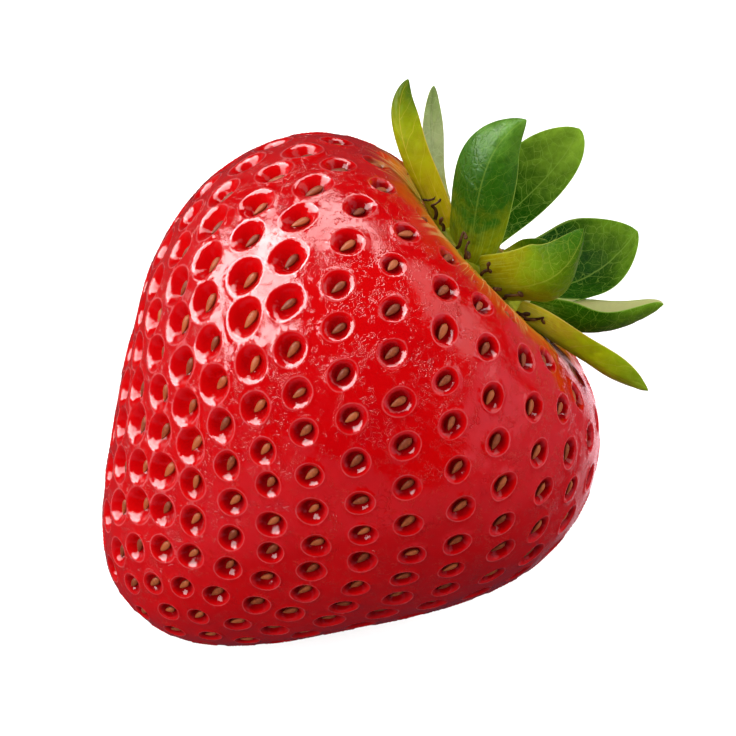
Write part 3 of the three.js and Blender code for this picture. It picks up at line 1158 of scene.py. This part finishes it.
@dataclass
class Achenes:
    """The achenes, one in every dimple, pointing towards the berry's tip."""

    lie: Lie
    dimples: Dimples
    length: float = 1.7
    width: float = 0.82
    thick: float = 0.58
    stand: float = 0.27
    clearance: float = 0.42
    sway: float = 5.0
    around: int = 10
    along: int = 7
    seed: int = 5

    def pattern(self) -> bpy.types.Object:
        """One achene at the origin: its point along +X and its outer side up."""
        share = np.linspace(0, 1, self.along)
        middle = (share - 0.5) * self.length
        half = np.sin(np.pi * share ** 0.8) ** 0.75 * (1 - 0.28 * share)
        turn = np.arange(self.around) * 2 * np.pi / self.around
        side = np.cos(turn)[None, :] * half[:, None] * self.width / 2
        up = np.sin(turn)[None, :] * half[:, None] * self.thick / 2
        long = np.broadcast_to(middle[:, None], side.shape)
        points = np.stack([long, side, up], axis=-1).reshape(-1, 3) * MM
        piece = new_piece("achene_pattern", points, ring_faces(self.along, self.around))
        mark(piece, "rim", np.broadcast_to(np.abs(np.cos(turn)) ** 3, side.shape))
        close_up(piece)
        return piece

    def seats(self) -> bpy.types.Object:
        """The places of the achenes, as loose points with their directions, all clear of the floor."""
        dimples = self.dimples
        lift = self.stand - dimples.deepness
        places = self.lie.place(dimples.middle + dimples.outwards * lift[:, None])
        places[:, 2] = np.maximum(places[:, 2], self.clearance * MM)
        seats = new_piece("achene_seats", places, [])
        draw = np.random.default_rng(self.seed)
        lean = np.radians(draw.normal(0, self.sway, dimples.count))[:, None]
        ahead = dimples.to_tip * np.cos(lean) + dimples.sideways * np.sin(lean)
        pitch = np.radians(draw.normal(0, self.sway, dimples.count))[:, None]
        for name, vectors in (
            ("outwards", dimples.outwards + ahead * np.sin(pitch)), ("to_tip", ahead),
        ):
            attribute = seats.data.attributes.new(name, "FLOAT_VECTOR", "POINT")
            attribute.data.foreach_set("vector", (vectors @ self.lie.turn.T).astype(np.float32).ravel())
        mark(seats, "size", 0.55 + 0.45 * dimples.size)
        return seats

    def tree(self) -> bpy.types.NodeTree:
        """The nodes that set an achene on every seat."""
        graph, given, result = new_group(
            "achenes on their seats", "GeometryNodeTree",
            {
                "Seats": (Kind.SHAPE, None), "Achene": (Kind.OBJECT, None),
                "Least Size": (Kind.NUMBER, 0.9), "Most Size": (Kind.NUMBER, 1.08),
                "Shell": (Kind.MATERIAL, None),
            },
            {"Achenes": Kind.SHAPE},
        )

        def stored(name: str, data_type: str) -> bpy.types.NodeSocket:
            """One of the seats' attributes."""
            node = graph.add("GeometryNodeInputNamedAttribute", {"Name": name}, data_type=data_type)
            return node.outputs["Attribute"]

        def drawn(low: object, high: object, seed: int) -> bpy.types.NodeSocket:
            """A random number for each seat."""
            node = graph.add("FunctionNodeRandomValue", {"Seed": seed}, data_type="FLOAT")
            graph.feed(node.inputs[2], low)
            graph.feed(node.inputs[3], high)
            return node.outputs[1]

        shape = graph.add("GeometryNodeObjectInfo", {"Object": given.outputs["Achene"]})
        facing = graph.add(
            "FunctionNodeAxesToRotation", primary_axis="Z", secondary_axis="X",
        )
        graph.feed(facing.inputs[0], stored("outwards", "FLOAT_VECTOR"))
        graph.feed(facing.inputs[1], stored("to_tip", "FLOAT_VECTOR"))
        size = graph.sum(
            "MULTIPLY", stored("size", "FLOAT"),
            drawn(given.outputs["Least Size"], given.outputs["Most Size"], 3),
        )
        toned = graph.add(
            "GeometryNodeStoreNamedAttribute",
            {"Geometry": given.outputs["Seats"], "Name": "tone", "Value": drawn(0.0, 1.0, 8)},
            data_type="FLOAT", domain="POINT",
        )
        set_on = graph.add(
            "GeometryNodeInstanceOnPoints",
            {
                "Points": toned.outputs[0], "Instance": shape.outputs["Geometry"],
                "Rotation": facing.outputs[0], "Scale": size,
            },
        )
        real = graph.add("GeometryNodeRealizeInstances", {"Geometry": set_on.outputs[0]})
        dressed = graph.add(
            "GeometryNodeSetMaterial",
            {"Geometry": real.outputs[0], "Material": given.outputs["Shell"]},
        )
        graph.feed(result.inputs[0], dressed.outputs[0])
        return graph.tree

    def build(self, material: bpy.types.Material) -> bpy.types.Object:
        """Set the achenes in their dimples.

        Args:
            material: Their material.

        Returns:
            The finished piece.
        """
        pattern, seats = self.pattern(), self.seats()
        piece = grown_mesh("achenes", seats, self.tree(), {"Achene": pattern, "Shell": material})
        bpy.data.objects.remove(pattern)
        LOG.info("achenes: %d faces", len(piece.data.polygons))
        return finish_piece(piece, material)


def grown_mesh(
    name: str, base: bpy.types.Object, tree: bpy.types.NodeTree, values: dict[str, object]
) -> bpy.types.Object:
    """Run a geometry tree on an object and keep what it makes as a plain mesh.

    Args:
        name: The new piece's name.
        base: The object that the tree starts from, which is used up.
        tree: The geometry tree.
        values: Values for its named inputs.

    Returns:
        The new mesh object, at the origin.
    """
    modifier = base.modifiers.new("grow", "NODES")
    modifier.node_group = tree
    sockets = {item.name: item.identifier for item in tree.interface.items_tree if item.in_out == "INPUT"}
    for title, value in values.items():
        modifier[sockets[title]] = value
    bpy.context.view_layer.update()
    deps = bpy.context.evaluated_depsgraph_get()
    mesh = bpy.data.meshes.new_from_object(
        base.evaluated_get(deps), preserve_all_data_layers=True, depsgraph=deps
    )
    mesh.name = name
    mesh.polygons.foreach_set("use_smooth", np.ones(len(mesh.polygons), bool))
    base.modifiers.remove(modifier)
    bpy.data.objects.remove(base)
    piece = bpy.data.objects.new(name, mesh)
    bpy.context.scene.collection.objects.link(piece)
    return piece


# ---- Calyx -------------------------------------------------------------------------------------


DARK_SEPAL = LeafFinish(
    blade=shade(34, 86, 2), tip=shade(120, 162, 38), root=shade(90, 130, 10),
    vein=shade(156, 192, 76), vein_strength=0.5, root_reach=0.04, gloss=0.46, shine=0.03,
)
LIGHT_TIPPED_SEPAL = replace(DARK_SEPAL, blade=shade(36, 88, 2), tip=shade(150, 190, 56), tip_start=0.42)
PALE_LINED_SEPAL = replace(DARK_SEPAL, blade=shade(60, 112, 10), inside=shade(206, 204, 140))
GLOSSY_SEPAL = LeafFinish(
    blade=shade(46, 100, 8), tip=shade(96, 146, 40), root=shade(168, 176, 8),
    vein=shade(160, 188, 70), vein_strength=0.2, root_reach=0.16, gloss=0.3, shine=0.24,
    net_cells=1500.0,
)
PALE_SEPAL = LeafFinish(
    blade=shade(172, 184, 126), tip=shade(140, 162, 90), root=shade(176, 174, 70),
    vein=shade(206, 208, 160), vein_strength=0.35, root_reach=0.3,
)
YELLOW_BRACT = LeafFinish(
    blade=shade(114, 146, 8), tip=shade(60, 112, 12), root=shade(176, 168, 0), tip_start=0.45,
    vein=shade(186, 194, 70), vein_strength=0.3, root_reach=0.42, net_cells=1300.0,
)
ORANGE_BRACT = LeafFinish(
    blade=shade(158, 166, 6), tip=shade(84, 118, 10), root=shade(206, 180, 8),
    vein=shade(226, 190, 80), vein_strength=0.34, root_reach=0.4, net=0.2,
)
GREEN_BRACT = LeafFinish(
    blade=shade(170, 194, 14), tip=shade(130, 154, 28), root=shade(240, 222, 60),
    vein=shade(224, 208, 104), vein_strength=0.25, root_reach=0.3, net=0.3,
)


@dataclass
class Leaf:
    """One leaf of the calyx, a thin blade bent about its midrib."""

    name: str
    midrib: tuple[Place, Place, Place, Place]
    halves: Pair
    widest: float
    blunt: float
    root: float
    roll: Pair
    fold: Pair
    curl: Pair
    finish: LeafFinish
    pairs: int = 6
    thickness: float = 0.32
    around: int = 56
    along: int = 72
    end_sharpness: float = 12.0
    edge_wave: float = 0.16
    vein_groove: float = 0.07
    midrib_groove: float = 0.12

    def outline(self, along: np.ndarray) -> np.ndarray:
        """The blade's half-width, as a share of its fullest, along its midrib."""
        eased = along ** (math.log(0.5) / math.log(self.widest))
        blade = np.maximum(4 * eased * (1 - eased), 0) ** self.blunt
        return blade + self.root * (1 - along) ** 1.2 * (1 - blade)

    def ribs(self, along: np.ndarray, across: np.ndarray) -> tuple[np.ndarray, np.ndarray]:
        """How strongly the side veins and the midrib show.

        Args:
            along: The share of the length, from the root.
            across: The share of the half-width, with its side's sign.

        Returns:
            The side veins' mask and the midrib's, from 0 to 1.
        """
        wide = np.abs(across)
        stagger = 0.18 * (across > 0)
        course = (along - 0.2 * wide + 0.04 * wide ** 2) * self.pairs + stagger
        off = np.abs((course + 0.5) % 1 - 0.5)
        fade = smooth_step(1.0, 0.7, wide) * smooth_step(0.02, 0.12, along)
        veins = np.exp(-(off / (0.07 + 0.03 * wide)) ** 2) * fade
        midrib = np.exp(-(wide / (0.045 + 0.03 * (1 - along))) ** 2) * smooth_step(1.0, 0.85, along)
        return veins, midrib

    def build(self, lie: Lie, effects: Effects) -> bpy.types.Object:
        """Make the leaf.

        Args:
            lie: How the berry lies.
            effects: The shared effects.

        Returns:
            The finished piece.
        """
        steps = np.linspace(0, 1, self.along + 1)
        loops = np.arange(self.around) * 2 * np.pi / self.around
        step, loop = (grid.T for grid in np.meshgrid(steps, loops))
        along = 1 - (1 - step) ** 1.3
        corners = np.array([berry_point(*np.array(place, float)) for place in self.midrib])
        weights = [(1 - along) ** 3, 3 * along * (1 - along) ** 2, 3 * along ** 2 * (1 - along), along ** 3]
        line = sum(weight[..., None] * corner for weight, corner in zip(weights, corners))
        pull = [(1 - along) ** 2, 2 * along * (1 - along), along ** 2]
        tangent = unit(sum(w[..., None] * leg for w, leg in zip(pull, np.diff(corners, axis=0))))
        sideways = berry_point(np.float64(self.midrib[0][0] + 90), 1.0, 0.0)
        side = unit(sideways - (tangent @ sideways)[..., None] * tangent)
        face = np.cross(side, tangent)

        def between(ends: Pair) -> np.ndarray:
            """An angle that changes from root to tip, in radians."""
            return np.radians(ends[0] + (ends[1] - ends[0]) * along)

        roll = between(self.roll)[..., None]
        side, face = side * np.cos(roll) + face * np.sin(roll), face * np.cos(roll) - side * np.sin(roll)
        across = np.cos(loop)
        end = np.minimum(1, self.end_sharpness * np.minimum(step, 1 - step))
        full = np.where(across < 0, self.halves[0], self.halves[1])
        near_root = 1 - np.minimum(1, along / 0.05)
        half = full * self.outline(along) * np.sqrt(1 - near_root ** 2)
        fold, curl = between(self.fold), between(self.curl)
        bend = fold + curl * np.abs(across)
        reach = half * (np.sin(bend) - np.sin(fold)) / curl
        rise = half * (np.cos(fold) - np.cos(bend)) / curl
        veins, midrib = self.ribs(along, across)
        wave = self.edge_wave * np.sin(9.0 * along + 2.1 * np.sign(across) + self.midrib[0][0])
        rise = rise + wave * np.abs(across) ** 2.5 * np.minimum(1, half) - self.vein_groove * veins * end
        upper = np.sin(loop)
        thick = self.thickness / 2 * upper * (1 - 0.45 * np.abs(across) ** 4) * end
        thick = thick - self.midrib_groove * midrib * end
        inwards = np.sign(across) * (reach - thick * np.sin(bend) * (np.abs(across) > 0.02))
        points = line + inwards[..., None] * side + (rise + thick * np.cos(bend))[..., None] * face
        piece = new_piece(
            f"{self.name}_leaf", lie.place(points.reshape(-1, 3)), ring_faces(self.along + 1, self.around)
        )
        for name, values in (("along", along), ("across", across), ("upper", upper)):
            mark(piece, name, values)
        close_up(piece)
        LOG.info("%s: %d faces", self.name, len(piece.data.polygons))
        return finish_piece(piece, self.finish.material(self.name, effects), [self.name])


@dataclass
class Disc:
    """The ribbed saucer on the fruit's shoulder that carries the leaves."""

    form: FruitForm
    lie: Lie
    radius: float = 6.4
    height: float = 0.85
    hollow: float = 0.35
    gap: float = 0.2
    ribs: int = 20
    around: int = 120
    rings: int = 33

    def build(self, effects: Effects) -> bpy.types.Object:
        """Make the disc.

        Args:
            effects: The shared effects.

        Returns:
            The finished piece.
        """
        turns, steps = np.arange(self.around) * 360 / self.around, np.linspace(0, 1, self.rings)
        azimuth, across = (grid.T for grid in np.meshgrid(turns, steps, indexing="ij"))
        reach = 1 - np.abs(2 * across - 1)
        rib = np.cos(np.radians(azimuth) * self.ribs + 0.6 * np.sin(np.radians(azimuth) * 3))
        distance = self.radius * reach * (1 + 0.012 * rib * reach ** 3)
        under = self.form.height(azimuth, distance) + self.gap
        edge = smooth_step(1.0, 0.9, reach)
        top = (self.height - self.hollow * (1 - reach ** 2)) * edge + 0.03 * rib * reach * (1 - reach) * 4
        height = under + np.where(across < 0.5, 0.0, 1.0) * top
        points = berry_point(azimuth, distance, height)
        faces = ring_faces(self.rings, self.around)
        piece = new_piece("calyx_saucer", self.lie.place(points.reshape(-1, 3)), faces)
        mark(piece, "dry", 0.35 * smooth_step(0.9, 1.0, reach))
        close_up(piece)
        LOG.info("calyx disc: %d faces", len(piece.data.polygons))
        material = StalkFinish("calyx saucer").material(effects)
        return finish_piece(piece, material, ["calyx_disc"])


@dataclass
class Stub:
    """The cut stub of the stalk, ribbed along its length."""

    form: FruitForm
    lie: Lie
    reach: float = 2.2
    foot_lift: float = 0.2
    around: int = 56
    ribs: int = 7
    rib_height: float = 0.05
    profile: tuple[Place, ...] = (
        (0.0, 0.0, 0.0), (1.4, 0.0, 0.0), (1.3, 0.35, 0.0), (1.08, 0.9, 0.0), (0.95, 1.7, 0.0),
        (0.95, 2.6, 0.1), (1.02, 3.1, 0.4), (1.05, 3.32, 0.8), (0.98, 3.4, 1.0), (0.7, 3.36, 0.8),
        (0.35, 3.28, 0.6), (0.15, 3.34, 0.5), (0.0, 3.34, 0.5),
    )

    def build(self, effects: Effects) -> bpy.types.Object:
        """Make the stub.

        Args:
            effects: The shared effects.

        Returns:
            The finished piece.
        """
        foot = float(self.form.height(np.float64(0.0), np.float64(self.reach))) + self.foot_lift
        shape = np.array(self.profile)
        finer = np.linspace(0, len(shape) - 1, 4 * len(shape))
        distance, height, dry = (np.interp(finer, np.arange(len(shape)), shape[:, k]) for k in range(3))
        azimuth = np.arange(self.around) * 360 / self.around
        rib = np.cos(np.radians(azimuth) * self.ribs)[None, :] * self.rib_height
        rib = rib * smooth_step(0.3, 0.8, distance)[:, None]
        points = berry_point(
            np.broadcast_to(azimuth, (len(finer), self.around)), distance[:, None] + rib,
            (foot + height)[:, None],
        )
        faces = ring_faces(len(finer), self.around)
        piece = new_piece("stalk_stub", self.lie.place(points.reshape(-1, 3)), faces)
        mark(piece, "dry", np.repeat(dry, self.around))
        close_up(piece)
        LOG.info("stalk stub: %d faces", len(piece.data.polygons))
        finish = StalkFinish("stalk stub", green=shade(140, 154, 70), pale=shade(176, 180, 96))
        return finish_piece(piece, finish.material(effects), ["stem_stub"])


@dataclass
class Stamens:
    """The dried stamens, lying outwards over the fruit's shoulder."""

    form: FruitForm
    lie: Lie
    count: int = 30
    inner: float = 7.6
    outer: float = 9.2
    lift: float = 0.25
    rise: float = 1.15
    curl: float = 0.5
    thread: float = 0.13
    headroom: float = 1.2
    anther_share: float = 1.35
    points: int = 14

    def paths(self) -> bpy.types.Object:
        """The stamens' middle lines, as a mesh of chains."""
        share = np.linspace(0, 1, self.points)
        places, edges = [], []
        for number in range(1, self.count + 1):
            azimuth = 360 / self.count * number + 2 * math.sin(2.4 * number)
            end = self.outer + 0.4 * math.sin(1.7 * number)
            distance = self.inner + (end - self.inner) * share
            turns = 6.5 + 2.5 * math.sin(4.7 * number)
            swing = self.curl * np.sin(turns * share + 2.1 * number) * share
            turn = azimuth + np.degrees(swing / distance)
            stand = self.rise * (0.75 + 0.35 * math.sin(3.3 * number)) * share
            stand = stand + self.curl * np.cos(turns * share + 1.3 * number) * share
            distance = distance + 0.8 * self.curl * np.sin(turns * share + 0.9 * number) * share
            stand = np.minimum(stand, self.headroom)
            height = self.form.height(turn, distance) + self.lift + stand
            first = len(places) * self.points
            places.append(self.lie.place(berry_point(turn, distance, height)))
            edges += [(first + k, first + k + 1) for k in range(self.points - 1)]
        mesh = bpy.data.meshes.new("stamen_paths")
        mesh.from_pydata(np.concatenate(places).tolist(), edges, [])
        paths = bpy.data.objects.new("stamen_paths", mesh)
        bpy.context.scene.collection.objects.link(paths)
        return paths

    @staticmethod
    def tree() -> bpy.types.NodeTree:
        """The nodes that make threads along the paths and set an anther on each end."""
        graph, given, result = new_group(
            "threads with anthers", "GeometryNodeTree",
            {
                "Paths": (Kind.SHAPE, None), "Thread Radius": (Kind.NUMBER, 0.13 * MM),
                "Anther Radius": (Kind.NUMBER, 0.2 * MM), "Dried": (Kind.MATERIAL, None),
            },
            {"Stamens": Kind.SHAPE},
        )
        curves = graph.add("GeometryNodeMeshToCurve", {0: given.outputs["Paths"]})
        smooth = graph.add("GeometryNodeResampleCurve", {"Curve": curves.outputs[0], "Count": 22})
        factor = graph.add("GeometryNodeSplineParameter").outputs["Factor"]
        taper = graph.rise(factor, 0.0, 1.0, 1.25, 0.7)
        thickness = graph.sum("MULTIPLY", taper, given.outputs["Thread Radius"])
        section = graph.add("GeometryNodeCurvePrimitiveCircle", {"Resolution": 7, "Radius": 1.0})
        threads = graph.add(
            "GeometryNodeCurveToMesh",
            {
                "Curve": smooth.outputs[0], "Profile Curve": section.outputs[0],
                "Scale": thickness, "Fill Caps": True,
            },
        )
        ends = graph.add("GeometryNodeCurveEndpointSelection", {"Start Size": 0, "End Size": 1})
        anther = graph.add(
            "GeometryNodeMeshUVSphere",
            {"Segments": 8, "Rings": 6, "Radius": given.outputs["Anther Radius"]},
        )
        stretched = graph.add(
            "GeometryNodeTransform", {"Geometry": anther.outputs[0], "Scale": (1.0, 0.75, 1.5)}
        )
        tangent = graph.add("GeometryNodeInputTangent")
        turned = graph.add("FunctionNodeAlignRotationToVector", {"Vector": tangent.outputs[0]}, axis="Z")
        size = graph.add("FunctionNodeRandomValue", {"Seed": 4}, data_type="FLOAT")
        graph.feed(size.inputs[2], 0.75)
        graph.feed(size.inputs[3], 1.25)
        tips = graph.add(
            "GeometryNodeInstanceOnPoints",
            {
                "Points": smooth.outputs[0], "Selection": ends.outputs[0],
                "Instance": stretched.outputs[0], "Rotation": turned.outputs[0],
                "Scale": size.outputs[1],
            },
        )
        both = graph.add("GeometryNodeJoinGeometry")
        for part in (tips.outputs[0], threads.outputs[0]):
            graph.tree.links.new(part, both.inputs[0])
        real = graph.add("GeometryNodeRealizeInstances", {"Geometry": both.outputs[0]})
        dressed = graph.add(
            "GeometryNodeSetMaterial",
            {"Geometry": real.outputs[0], "Material": given.outputs["Dried"]},
        )
        graph.feed(result.inputs[0], dressed.outputs[0])
        return graph.tree

    def build(self, material: bpy.types.Material) -> bpy.types.Object:
        """Make the stamens.

        Args:
            material: Their material.

        Returns:
            The finished piece.
        """
        values = {
            "Thread Radius": self.thread * MM,
            "Anther Radius": self.anther_share * self.thread * MM,
            "Dried": material,
        }
        piece = grown_mesh("stamens", self.paths(), self.tree(), values)
        LOG.info("stamens: %d faces", len(piece.data.polygons))
        names = [f"stamen_{number:02d}" for number in range(1, self.count + 1)]
        return finish_piece(piece, material, names)


@dataclass
class Calyx:
    """The disc, the stub of the stalk, the ten leaves and the stamens."""

    form: FruitForm
    lie: Lie
    effects: Effects
    leaves: tuple[Leaf, ...] = field(init=False)

    def __post_init__(self) -> None:
        """Set out the ten leaves."""
        self.leaves = (
            Leaf(
                "sepal_1", ((84, 5.8, 17.6), (77, 7.9, 20.8), (57, 12.7, 24.8), (58, 10.2, 30.0)),
                (4.0, 3.1), 0.48, 0.7, 0.5, (-8, 4), (-16, -19), (-35, -35), GLOSSY_SEPAL,
            ),
            Leaf(
                "bract_1", ((108, 5.8, 17.4), (114, 9.8, 19.8), (129, 11.2, 22.2), (121, 8.3, 26.8)),
                (3.3, 3.3), 0.42, 0.55, 0.75, (5, -15), (-10, -30), (-20, -20), YELLOW_BRACT, pairs=4,
            ),
            Leaf(
                "sepal_2", ((150, 6.2, 17.2), (157, 10.2, 18.6), (161, 14.2, 19.0), (167, 18.2, 20.8)),
                (2.8, 2.8), 0.42, 0.8, 0.85, (14, 24), (-15, -15), (-10, -10), GREEN_BRACT,
            ),
            Leaf(
                "bract_2", ((186, 5.8, 17.4), (188, 8.9, 19.0), (188, 13.0, 20.0), (184, 13.8, 26.7)),
                (4.0, 3.5), 0.5, 0.45, 0.7, (0, -4), (-35, -25), (-30, -20), PALE_LINED_SEPAL,
            ),
            Leaf(
                "sepal_3", ((222, 5.6, 17.8), (232, 9.7, 19.7), (224, 13.2, 23.4), (221, 10.6, 29.4)),
                (4.7, 6.2), 0.55, 0.55, 0.4, (0, 0), (-10, -10), (-20, -20), DARK_SEPAL,
            ),
            Leaf(
                "bract_3", ((254, 5.4, 18.4), (251, 7.0, 20.2), (246, 7.4, 21.6), (242, 6.6, 23.4)),
                (1.5, 1.5), 0.5, 0.6, 0.5, (0, 0), (-10, -10), (-20, -20), YELLOW_BRACT, pairs=4,
            ),
            Leaf(
                "sepal_4", ((280, 5.0, 18.6), (281, 9.0, 21.0), (270, 10.0, 27.2), (284, 7.6, 32.2)),
                (2.0, 4.4), 0.62, 0.5, 0.6, (0, 0), (-10, -10), (-20, -20), LIGHT_TIPPED_SEPAL,
            ),
            Leaf(
                "bract_4", ((314, 5.2, 18.6), (314, 7.5, 20.8), (313, 8.0, 24.0), (311, 7.2, 27.0)),
                (1.8, 1.8), 0.5, 0.6, 0.45, (0, 0), (-10, -10), (-20, -20), YELLOW_BRACT, pairs=4,
            ),
            Leaf(
                "sepal_5", ((346, 5.2, 18.8), (346, 8.0, 20.8), (346, 11.5, 22.8), (348, 13.6, 26.2)),
                (1.2, 1.1), 0.5, 0.6, 0.9, (20, 50), (-15, -15), (-10, -10), PALE_SEPAL,
            ),
            Leaf(
                "bract_5", ((44, 6.0, 18.0), (38, 9.4, 20.0), (26, 15.3, 21.0), (17, 15.6, 25.4)),
                (1.0, 1.9), 0.54, 0.65, 1.1, (-25, -50), (-20, -15), (-20, -10), ORANGE_BRACT,
            ),
        )

    def build(self) -> list[bpy.types.Object]:
        """Make every piece of the calyx."""
        pieces = [leaf.build(self.lie, self.effects) for leaf in self.leaves]
        pieces.append(Disc(self.form, self.lie).build(self.effects))
        pieces.append(Stub(self.form, self.lie).build(self.effects))
        pieces.append(Stamens(self.form, self.lie).build(StamenFinish().material(self.effects)))
        return pieces


# ---- Studio ------------------------------------------------------------------------------------


class Acts(Enum):
    """What a soft light acts on."""

    IN_GLOSS = "reflections"
    ON_COLOUR = "matt colour"


@dataclass
class Studio:
    """The camera, the white table and the soft lights."""

    lie: Lie
    camera_azimuth: float = -35.9
    camera_rise: float = 53.0
    camera_gap: float = 0.320
    lens: float = 183.0
    sensor: float = 36.0
    light_gap: float = 0.9
    aim_right: float = 3.32 * MM
    aim_up: float = 3.96 * MM
    sky: float = 0.27
    ground: float = 0.05
    table_half: float = 3.0
    table_drop: float = 0.05 * MM
    only_table: bpy.types.Collection = field(init=False)
    only_calyx: bpy.types.Collection = field(init=False)

    def __post_init__(self) -> None:
        """Start the collections that some lights are kept for."""
        self.only_table = bpy.data.collections.new("lit from above")
        self.only_calyx = bpy.data.collections.new("lit from the front")

    def camera(self) -> None:
        """Set up the camera, looking down on the berry from its front left."""
        turn, rise = math.radians(self.camera_azimuth), math.radians(self.camera_rise)
        back = Vector((math.sin(turn) * math.cos(rise), -math.cos(turn) * math.cos(rise), math.sin(rise)))
        right = Vector((math.cos(turn), math.sin(turn), 0))
        up = back.cross(right)
        data = bpy.data.cameras.new("camera")
        data.lens, data.sensor_width = self.lens, self.sensor
        data.clip_start, data.clip_end = 0.01, 20.0
        camera = bpy.data.objects.new("camera", data)
        target = Vector(self.lie.middle) + right * self.aim_right + up * self.aim_up
        camera.matrix_world = Matrix.Translation(target + back * self.camera_gap) @ Matrix(
            (right, up, back)
        ).transposed().to_4x4()
        bpy.context.scene.collection.objects.link(camera)
        bpy.context.scene.camera = camera

    def table(self) -> None:
        """Lay the white table just under the berry."""
        half, under = self.table_half, -self.table_drop
        corners = np.array([(x * half, y * half, under) for x, y in ((-1, -1), (1, -1), (1, 1), (-1, 1))])
        table = new_piece("white_table", corners, [(0, 1, 2, 3)])
        table.data.materials.append(FloorFinish().material())
        table.visible_diffuse = False
        self.only_table.objects.link(table)

    def softbox(
        self, name: str, azimuth: float, rise: float, gap: float, size: Pair, radiance: float, acts: Acts
    ) -> bpy.types.Object:
        """Hang a soft light that faces the berry.

        Args:
            name: Its name.
            azimuth: Its direction from the berry, in degrees from +X.
            rise: Its direction above the table, in degrees.
            gap: Its distance, in metres.
            size: Its width and height, in metres.
            radiance: How bright its face is.
            acts: Whether it shows in reflections or lights what is matt.

        Returns:
            The light.
        """
        data = bpy.data.lights.new(name, "AREA")
        data.shape, (data.size, data.size_y) = "RECTANGLE", size
        data.energy = radiance * math.pi * size[0] * size[1]
        light = bpy.data.objects.new(name, data)
        turn, lift = math.radians(azimuth), math.radians(rise)
        ahead = Vector((math.cos(turn) * math.cos(lift), math.sin(turn) * math.cos(lift), math.sin(lift)))
        light.location = Vector(self.lie.middle) + ahead * gap
        light.rotation_euler = ahead.to_track_quat("Z", "Y").to_euler()
        light.visible_glossy, light.visible_diffuse = acts is Acts.IN_GLOSS, acts is Acts.ON_COLOUR
        light.visible_camera = False
        bpy.context.scene.collection.objects.link(light)
        return light

    def build(self) -> None:
        """Make the whole studio."""
        self.camera()
        self.table()
        gap = self.light_gap
        self.softbox("key_sheen", 128, 37, gap, (0.86, 0.86), 15.5, Acts.IN_GLOSS)
        self.softbox("top_sheen", 66, 46, gap, (1.05, 0.42), 10.0, Acts.IN_GLOSS)
        self.softbox("side_sheen", -10, 34, gap, (0.66, 0.56), 1.8, Acts.IN_GLOSS)
        low_sheen = self.softbox("low_sheen", -48, 16, gap, (0.9, 0.5), 1.25, Acts.IN_GLOSS)
        low_sheen.data.color = (1.0, 0.56, 0.72)
        self.softbox("key_glow", 106, 40, gap, (0.7, 0.7), 2.0, Acts.ON_COLOUR)
        self.softbox("left_glow", 180, 33, gap, (0.7, 0.7), 3.8, Acts.ON_COLOUR)
        self.softbox("fill_glow", -26, 22, gap, (0.8, 0.8), 2.8, Acts.ON_COLOUR)
        leaf_glow = self.softbox("leaf_glow", 234, 60, gap, (0.8, 0.8), 1.7, Acts.ON_COLOUR)
        leaf_glow.light_linking.receiver_collection = self.only_calyx
        above = self.softbox("table_glow", 0, 90, 2.5, (3.0, 3.0), 3.8, Acts.ON_COLOUR)
        above.light_linking.receiver_collection = self.only_table
        above.light_linking.blocker_collection = self.only_table
        world = bpy.data.worlds.new("studio air")
        world.use_nodes = True
        background = world.node_tree.nodes["Background"]
        background.inputs["Color"].default_value = (1.0, 1.0, 1.0, 1.0)
        air = Graph(world.node_tree)
        ahead = air.add("ShaderNodeTexCoord").outputs["Generated"]
        upwards = air.add("ShaderNodeSeparateXYZ", {0: ahead}).outputs[2]
        air.feed(background.inputs["Strength"], air.rise(upwards, -0.3, 0.3, self.ground, self.sky))
        bpy.context.scene.world = world
        world.cycles_visibility.glossy = False
        bpy.context.scene.view_settings.view_transform = "Standard"


def main() -> None:
    """Build the berry piece by piece."""
    logging.basicConfig(level=logging.INFO, format="%(name)s: %(message)s")
    form = FruitForm()
    lie = Lie(form)
    studio = Studio(lie)
    studio.build()
    effects = Effects()
    dimples = Dimples(form)
    Fruit(form, lie, dimples).build(SkinFinish().material(effects))
    Achenes(lie, dimples).build(AcheneFinish().material(effects))
    for piece in Calyx(form, lie, effects).build():
        studio.only_calyx.objects.link(piece)


if __name__ == "__main__":
    main()
